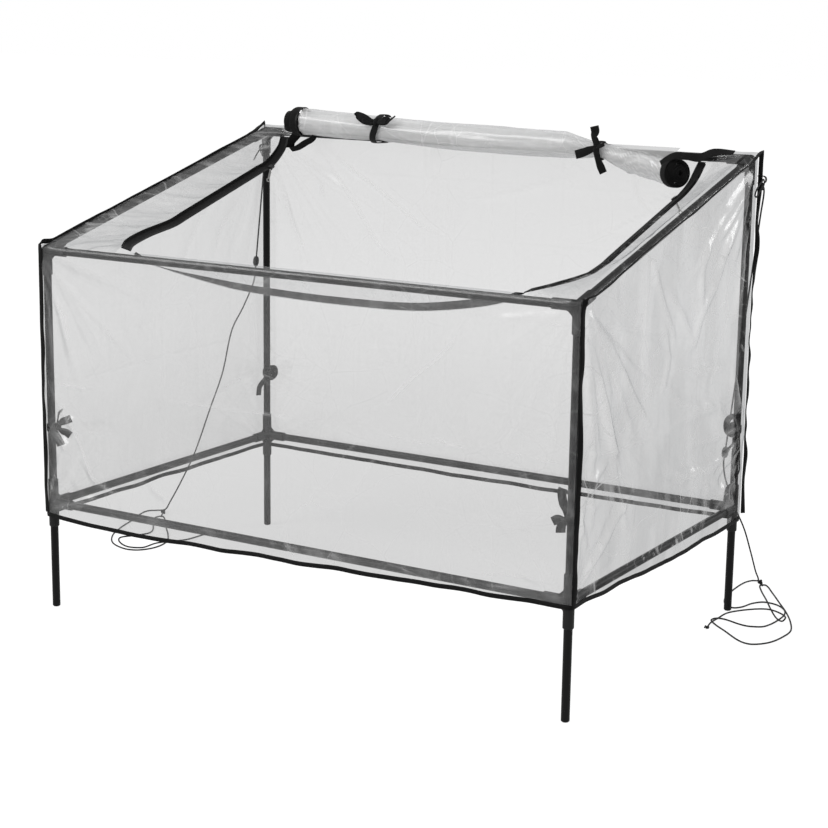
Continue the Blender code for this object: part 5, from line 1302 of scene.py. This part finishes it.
def roll_ties(material):
    layer = (FILM + 0.0012) / 2 + 2 * AIR
    for side, skew, width, lean in (("left", 0.016, RIBBON_WIDTH, 150), ("right", 0.0, 0.0140, 165)):
        x = ROLL_TIE_X[side]
        y, z, outer, start, low = roll_at(x)
        radius = outer + layer
        reach, towards = math.hypot(HALF_Y - y, BACK_Z - z), math.atan2(BACK_Z - z, HALF_Y - y)
        leave = math.tau + towards - math.acos(max(-1.0, min(1.0, (radius - RIBBON_R) / reach)))
        coil = [(y + outer * math.cos(start + a), z + outer * math.sin(start + a)) for a in (0.0, 0.3)]
        section = [tuple(p) for p in beside(roll_tail(low) + coil, layer)]
        first, last = start + math.radians(14), math.tau + math.radians(20)
        for k in range(29):
            angle = first + (leave - first) * k / 28
            section.append((y + radius * math.cos(angle), z + radius * math.sin(angle)))
        for k in range(1, 9):
            angle = leave + (last - leave) * k / 8
            section.append((HALF_Y + RIBBON_R * math.cos(angle), BACK_Z + RIBBON_R * math.sin(angle)))
        line = []
        for k, (a, b) in enumerate(section):
            aside = skew * float(smoothstep(z - outer, z + outer * 0.6, b))
            line.append((x + 0.0012 * math.sin(k * 0.35) + aside, a, b))
        out = Vector((0, math.cos(math.radians(lean)), math.sin(math.radians(lean))))
        knot = Vector((x + skew, y, z)) + out * (radius + 0.0042)
        made = [ribbon(f"belt_{side}", line, ALONG, width, RIBBON_THICKNESS, material, 0.0022)]
        made += knot_pieces(f"knot_{side}", knot, out, ALONG, material, 1.05)
        made += free_ends(f"free_{side}", knot, ROLL_ENDS[side], material)
        finished(joined(f"ribbon_{side}", made), [f"roll_tie_{side}"])


def post_ties(material):
    for row, y_sign in ROWS.items():
        for side, x_sign in SIDES.items():
            name = f"{row}_{side}"
            post = Vector((x_sign * HALF_X, y_sign * HALF_Y, BASE_Z + TIE_HEIGHT + TIE_SHIFT[name]))
            ring = []
            for k, (a, b) in enumerate(on_circle(16)):
                slant = 0.0012 * math.sin(math.tau * k / 8 + x_sign * HALF_X)
                ring.append(post + Vector((RIBBON_R * a, RIBBON_R * b, slant)))
            inward = Vector((-x_sign, -y_sign, 0)).normalized()
            knot = post + inward * (RIBBON_R + 0.0044)
            made = [ribbon(f"round_{name}", ring, UP, RIBBON_WIDTH, RIBBON_THICKNESS, material, 0.0016, True)]
            made += knot_pieces(f"hitch_{name}", knot, inward, UP, material)
            made += free_ends(f"free_{name}", knot, POST_ENDS[name], material)
            finished(joined(f"post_ribbon_{name}", made), [f"post_tie_{name}"])


# ---------------------------------------------------------------- ropes
# Heights of a rope on the ground: on it, over one strand, over two and over three
LAYERS = [ROPE_D / 2 + over * ROPE_D for over in (0, 1.25, 2.5, 3.9)]
TOGGLES = {"left": (-0.6385, 0.4000, 0.6300), "right": (0.5495, 0.4200, 0.3250)}
# The ropes' ways below the toggles as x, y, z, and then on the ground as x, y and which of the layers
HANGING = {
    "left": (
        -645, 399, 580, -670, 392, 520, -697, 382, 462, -719, 373, 358, -750, 365, 270, -793, 355, 151, -830, 345, 73,
        -854, 335, 25, -866, 331, 5,
    ),
    "right": (548, 430, 270, 556, 465, 205, 570, 498, 145, 576, 530, 85, 577, 562, 35, 574, 590, 6),
}
LYING = {
    "left": (
        -883, 324, 0, -901, 304, 0, -893, 260, 0, -877, 216, 0, -859, 154, 0, -832, 92, 0, -789, 42, 0, -736, 21, 0,
        -704, 31, 0, -686, 69, 0, -693, 118, 0, -725, 164, 0, -776, 220, 0, -822, 273, 0, -842, 287, 0, -846, 266, 0,
        -818, 226, 0, -774, 160, 0, -788, 119, 0, -805, 88, 0, -783, 58, 0, -741, 38, 0, -710, 51, 0, -698, 86, 1,
        -678, 119, 1, -665, 164, 0, -659, 216, 0,
    ),
    "right": (
        559, 595, 0, 549, 564, 0, 551, 479, 0, 559, 435, 0, 574, 404, 0, 595, 391, 0, 609, 406, 0, 619, 442, 0, 637,
        464, 0, 669, 459, 0, 696, 429, 0, 705, 383, 0, 696, 313, 0, 671, 296, 0, 649, 297, 0, 611, 310, 0, 593, 307,
        0, 589, 290, 0, 608, 267, 0, 636, 243, 0, 689, 198, 0, 715, 194, 0, 741, 225, 0, 752, 283, 0, 750, 319, 0,
        735, 356, 1, 706, 410, 1, 671, 464, 1, 623, 542, 0, 596, 579, 0, 586, 572, 0, 600, 540, 0, 640, 468, 1, 678,
        397, 2, 707, 352, 2, 722, 342, 2, 723, 358, 3, 700, 380, 3, 676, 388, 3, 650, 390, 2, 620, 372, 1, 603, 340,
        1, 600, 295, 1, 599, 262, 1, 601, 236, 0,
    ),
}
# Where each rope is tied to its own loop on the ground
LOOP_TIES = {
    "left": ((-0.8650, 0.3314, 0.0059), (-0.8400, 0.2820, LAYERS[0])),
    "right": ((0.5751, 0.5874, 0.0086), (0.5915, 0.5700, LAYERS[0])),
}
# The bit of rope that sticks out beside each webbing loop: direction of the steps to the side, and the steps
SLACK = {
    "left": ((0.3, 0.95, 0), (-1, 0, 2, -3, -3, 3, -6, -8, 3, -8, -12, 3)),
    "right": ((0, 1, 0), (-1, -1, 4, -5, -4, 5, -9, -9, 6, -11, -14, 6, -9, -16, 6, -5, -12, 5, -1, -7, 4)),
}


def rod(name, line, radius, material, closed=False, sides=10):
    return loft(name, line, steady_across(line), round_profile(radius, sides), material, closed)


def rope_route(side):
    x_sign = SIDES[side]
    start = anchor_root(x_sign) + Vector((x_sign * 0.0065, 0, -0.0087))
    toggle = Vector(TOGGLES[side])
    turn = start + Vector((0, 0.009, -0.016))
    high = toggle + (turn - toggle) * 0.92
    straight = [high + (toggle - high) * k / 4 for k in range(5)]
    beyond = toggle + (toggle - high).normalized() * 0.022
    lying = LYING[side]
    ground = [(x / 1000, y / 1000, LAYERS[n]) for x, y, n in zip(lying[::3], lying[1::3], lying[2::3])]
    return [start, turn, *straight, beyond, *grouped(HANGING[side], 3), *ground], high, toggle


def rope_knot(name, centre, material, size, out, turn):
    """An overhand knot, drawn up."""
    c = np.array(tuple(centre))
    z = np.array(tuple(Vector(out).normalized()))
    x = unit(np.cross(z, [0.37, 0.21, 0.9]))
    y = np.cross(z, x)
    points = []
    for t in np.linspace(0, math.tau, 91)[:-1]:
        a = (math.sin(t + turn) + 2 * math.sin(2 * (t + turn))) * size
        b = (math.cos(t + turn) - 2 * math.cos(2 * (t + turn))) * size
        points.append(c + x * a + y * b - z * math.sin(3 * (t + turn)) * size * 1.05)
    return rod(name, np.array(points), ROPE_D / 2 * 0.98, material, closed=True)


def rope_eye(side, start, material):
    """The rope's ring through the webbing loop, its knot and the slack beside it."""
    x_sign = SIDES[side]
    middle = anchor_root(x_sign) + Vector((x_sign * 0.0065, 0, 0))
    ring = [middle + Vector((x_sign * 0.0006, 0.0062 * a, -0.0066 + 0.0118 * b * 0.62)) for a, b in on_circle(18)]
    slack = spline(drawn(middle, *SLACK[side]), spacing=0.0020)
    profile = round_profile(ROPE_D / 2 * 0.9, 10)
    return joined(f"rope_eye_{side}", [
        loft(f"eye_{side}", spline(ring, spacing=0.0012, closed=True), ALONG, profile, material, closed=True),
        rope_knot(f"hitch_rope_{side}", start + Vector((0, 0.0025, -0.0085)), material, 0.0013, (1, 0.2, 0.1), 0.4),
        rod(f"slack_{side}", slack, ROPE_D / 2, material),
    ])


def loop_knot(side, material):
    """Where the rope is tied to its own loop."""
    first, second = (Vector(p) for p in LOOP_TIES[side])
    middle = (first + second) / 2
    middle.z = 0.0065
    strand = spline([first, middle, second], spacing=0.0015)
    return joined(f"rope_loop_knot_{side}", [
        rod(f"strand_{side}", strand, ROPE_D / 2, material),
        rope_knot(f"bight_{side}", middle, material, 0.0016, VIEW_BACK, 0.6),
    ])


def ropes(material):
    for side in SIDES:
        route, high, toggle = rope_route(side)
        line = spline(route, spacing=0.0030)
        line[:, 2] = np.maximum(line[:, 2], LAYERS[0])
        obj = rod(f"rope_{side}", line, ROPE_D * 0.57, material, sides=12)
        finished(obj, [f"guy_rope_{side}"])
        last = Vector(line[-1]) + Vector((0, 0, 0.0026))
        pieces = [
            rope_eye(side, Vector(line[0]), material),
            rope_knot(f"rope_end_{side}", last, material, 0.0015, (0.1, 0.2, 1), 0.9),
            loop_knot(side, material),
        ]
        for piece in pieces:
            finished(piece)
        pieces.append(toggle_piece(side, high, toggle))


# Half of a toggle's outline from its end to its waist, with grip rings: radius and height in tenths of a millimetre
TOGGLE_HALF = (
    20, 0, 40, 0, 46, 6, 53, 22, 62, 46, 68, 64, 70, 74, 67, 78, 67, 86, 70, 90, 70, 98, 67, 102, 67, 110,
)
TOGGLE_LENGTH = 0.022


def toggle_piece(side, high, toggle):
    """A barrel stopper with rounded ends, a waist of grip rings and a bore for the rope."""
    along = (high - toggle).normalized()
    start = toggle - along * TOGGLE_LENGTH / 2
    half = grouped(TOGGLE_HALF, 2, 10000)
    profile = half + [(r, TOGGLE_LENGTH - h) for r, h in reversed(half[:-1])]
    x_axis = along.cross(Vector((0.2, 0.9, 0.3))).normalized()
    y_axis = along.cross(x_axis)
    points, faces, steps, n = [], [], 40, len(profile)
    for k, (a, b) in enumerate(on_circle(steps)):
        spoke, m = x_axis * a + y_axis * b, (k + 1) % steps
        points += [tuple(start + along * h + spoke * r) for r, h in profile]
        faces += [(k * n + j, m * n + j, m * n + (j + 1) % n, k * n + (j + 1) % n) for j in range(n)]
    obj = new_object(f"toggle_{side}", points, faces, MOULDED_TOGGLE)
    obj.modifiers.new("edges", "EDGE_SPLIT").split_angle = math.radians(38)
    return finished(obj, [f"rope_toggle_{side}"], f"{side}_toggle")


# ---------------------------------------------------------------- stage
def light_path(s):
    """Whether a ray comes from the camera through film, from a mirror image, or from either or the camera."""
    kinds = ("Is Camera Ray", "Is Glossy Ray", "Is Transmission Ray", "Transparent Depth")
    camera, glossy, transmission, depth = s.add("LightPath", out=kinds)
    mirrored = s.math("MAXIMUM", glossy, transmission)
    return s.math("GREATER_THAN", depth, 0.5) * camera, mirrored, s.math("MAXIMUM", camera, mirrored)


def stage():
    s = new_material("floor_paper")
    behind, mirrored, seen = light_path(s)
    place = s.place()
    away = s.add("VectorMath", {0: place, 1: (-0.1, 0.2, 0.0)}, "Value", operation="DISTANCE")
    through = behind * (s.ramp(away, 0.5, 4.0, 0.94, 1.12) * THROUGH_FILM) + (1.0 - behind)
    tone = through * s.linear(mirrored, 0.0, 1.0, 1.0, MIRRORED)
    colour = s.mix(s.ramp(s.noise(place, 60.0, 2.0), 0.3, 0.7), grey(0.79), grey(0.81))
    dark = s.add("BsdfDiffuse", {"Color": s.mix(tone, grey(0.0), grey(0.30))})
    glow = s.add("Emission", {"Color": grey(1.0), "Strength": tone * 0.86})
    shown = s.add("AddShader", {0: dark, 1: glow})
    material = s.surface(s.mix_shader(seen, s.add("BsdfDiffuse", {"Color": colour}), shown))
    corners = [(-25, -25, 0), (25, -25, 0), (25, 25, 0), (-25, 25, 0)]
    floor = new_object("floor", corners, [(0, 1, 2, 3)], material, smooth=False)
    floor.location.z = -0.0004

    w = Shader(bpy.data.worlds.new("studio"), "OutputWorld")
    behind, mirrored, seen = light_path(w)
    tone = 1.0 - behind * (1.0 - THROUGH_FILM * 1.2) - mirrored * (1.0 - MIRRORED)
    strength = seen * tone + (1.0 - seen) * WORLD_LIGHT
    bpy.context.scene.world = w.surface(w.add("Background", {"Color": (1, 1, 1, 1), "Strength": strength}))


def area_light(name, place, target, size, power):
    data = bpy.data.lights.new(name, "AREA")
    data.shape = "RECTANGLE"
    data.size, data.size_y = size
    data.energy = power
    light = bpy.data.objects.new(name, data)
    light.location = place
    light.rotation_euler = (Vector(target) - Vector(place)).to_track_quat("-Z", "Y").to_euler()
    bpy.context.scene.collection.objects.link(light)


# ---------------------------------------------------------------- the whole scene
make_camera()

FILM_WALL = film_material("clear_film", haze=0.078, mirror_cap=0.07, blur=0.10)
FILM_CREASED = film_material(
    "clear_film_creased", haze=0.085, crumple=1.3, mottled=3.2, mirror_cap=0.15, grazing=0.74, blur=0.05,
    patches=0.085,
)
FILM_CALM = film_material("clear_film_smooth", crumple=0.35, mottled=0.6, mirror_cap=0.05, blur=0.14)
FILM_ROOF = film_material("clear_film_roof", crumple=1.25, mottled=2.4, mirror_cap=0.10, grazing=0.66)
FILM_FOLD = film_material("clear_film_folded", haze=0.11, mottled=1.6, mirror_cap=0.06, grazing=0.84)
FILM_ROLL = film_material("clear_film_rolled", haze=0.43, mottled=3.0, mirror_cap=0.20, grazing=0.97)
TUBES = tube_material()
MOULDED = moulded_material("moulded_fitting")
MOULDED_ZIP = moulded_material("moulded_zip", 0.008, (0.30, 0.45), 0.00006)
MOULDED_TOGGLE = moulded_material("moulded_toggle", 0.006, (0.32, 0.48))
TAPE = fabric_material("zip_tape_weave", 0.0065, 0.0011, 0.0012, ((0.0022, 0.0030), (0.0046, 0.0030)))
BIAS = fabric_material("bias_binding", 0.0060, 0.0009, 0.0010, ((0.0072, 0.0032),))
GROSGRAIN = fabric_material("grosgrain_ribbon", 0.0075, 0.0013, 0.0011, sheen=0.10)
METAL = metal_material()

ropes(rope_material())
film_wall("front", FILM_WALL, 0.0048)
film_wall("right", FILM_CREASED, 0.0048)
film_wall("back", FILM_WALL, 0.0065)
film_wall("left", FILM_CALM, 0.0065)
film_margin("left", FILM_ROOF)
film_margin("right", FILM_ROOF)
film_front_margin(FILM_FOLD)
rolled_door(FILM_ROLL)
rolled_tapes(TAPE)
zip_tapes(TAPE)
hem(BIAS)
seams(BIAS, GROSGRAIN)
roll_ties(GROSGRAIN)
post_ties(GROSGRAIN)

for name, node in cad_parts.items():
    if node.hide_render:
        continue
    chosen = MOULDED if "fitting" in name else TUBES
    if name.startswith("zip_slider"):
        chosen = MOULDED_ZIP
    elif name.startswith("zip_pull"):
        chosen = METAL
    for slot in node.material_slots:
        slot.material = chosen

stage()
area_light("key", (-2.9, -4.0, 3.5), (0.0, 0.0, 0.5), (3.2, 2.4), 120.0)
area_light("rim", (3.2, 4.2, 2.6), (0.3, 0.0, 0.5), (1.6, 2.6), 55.0)
area_light("top", (-0.4, -1.7, 3.8), (0.0, 0.0, 0.4), (2.4, 1.6), 26.0)

bpy.context.scene.view_settings.view_transform = "Standard"
bpy.context.scene.cycles.transparent_max_bounces = 40
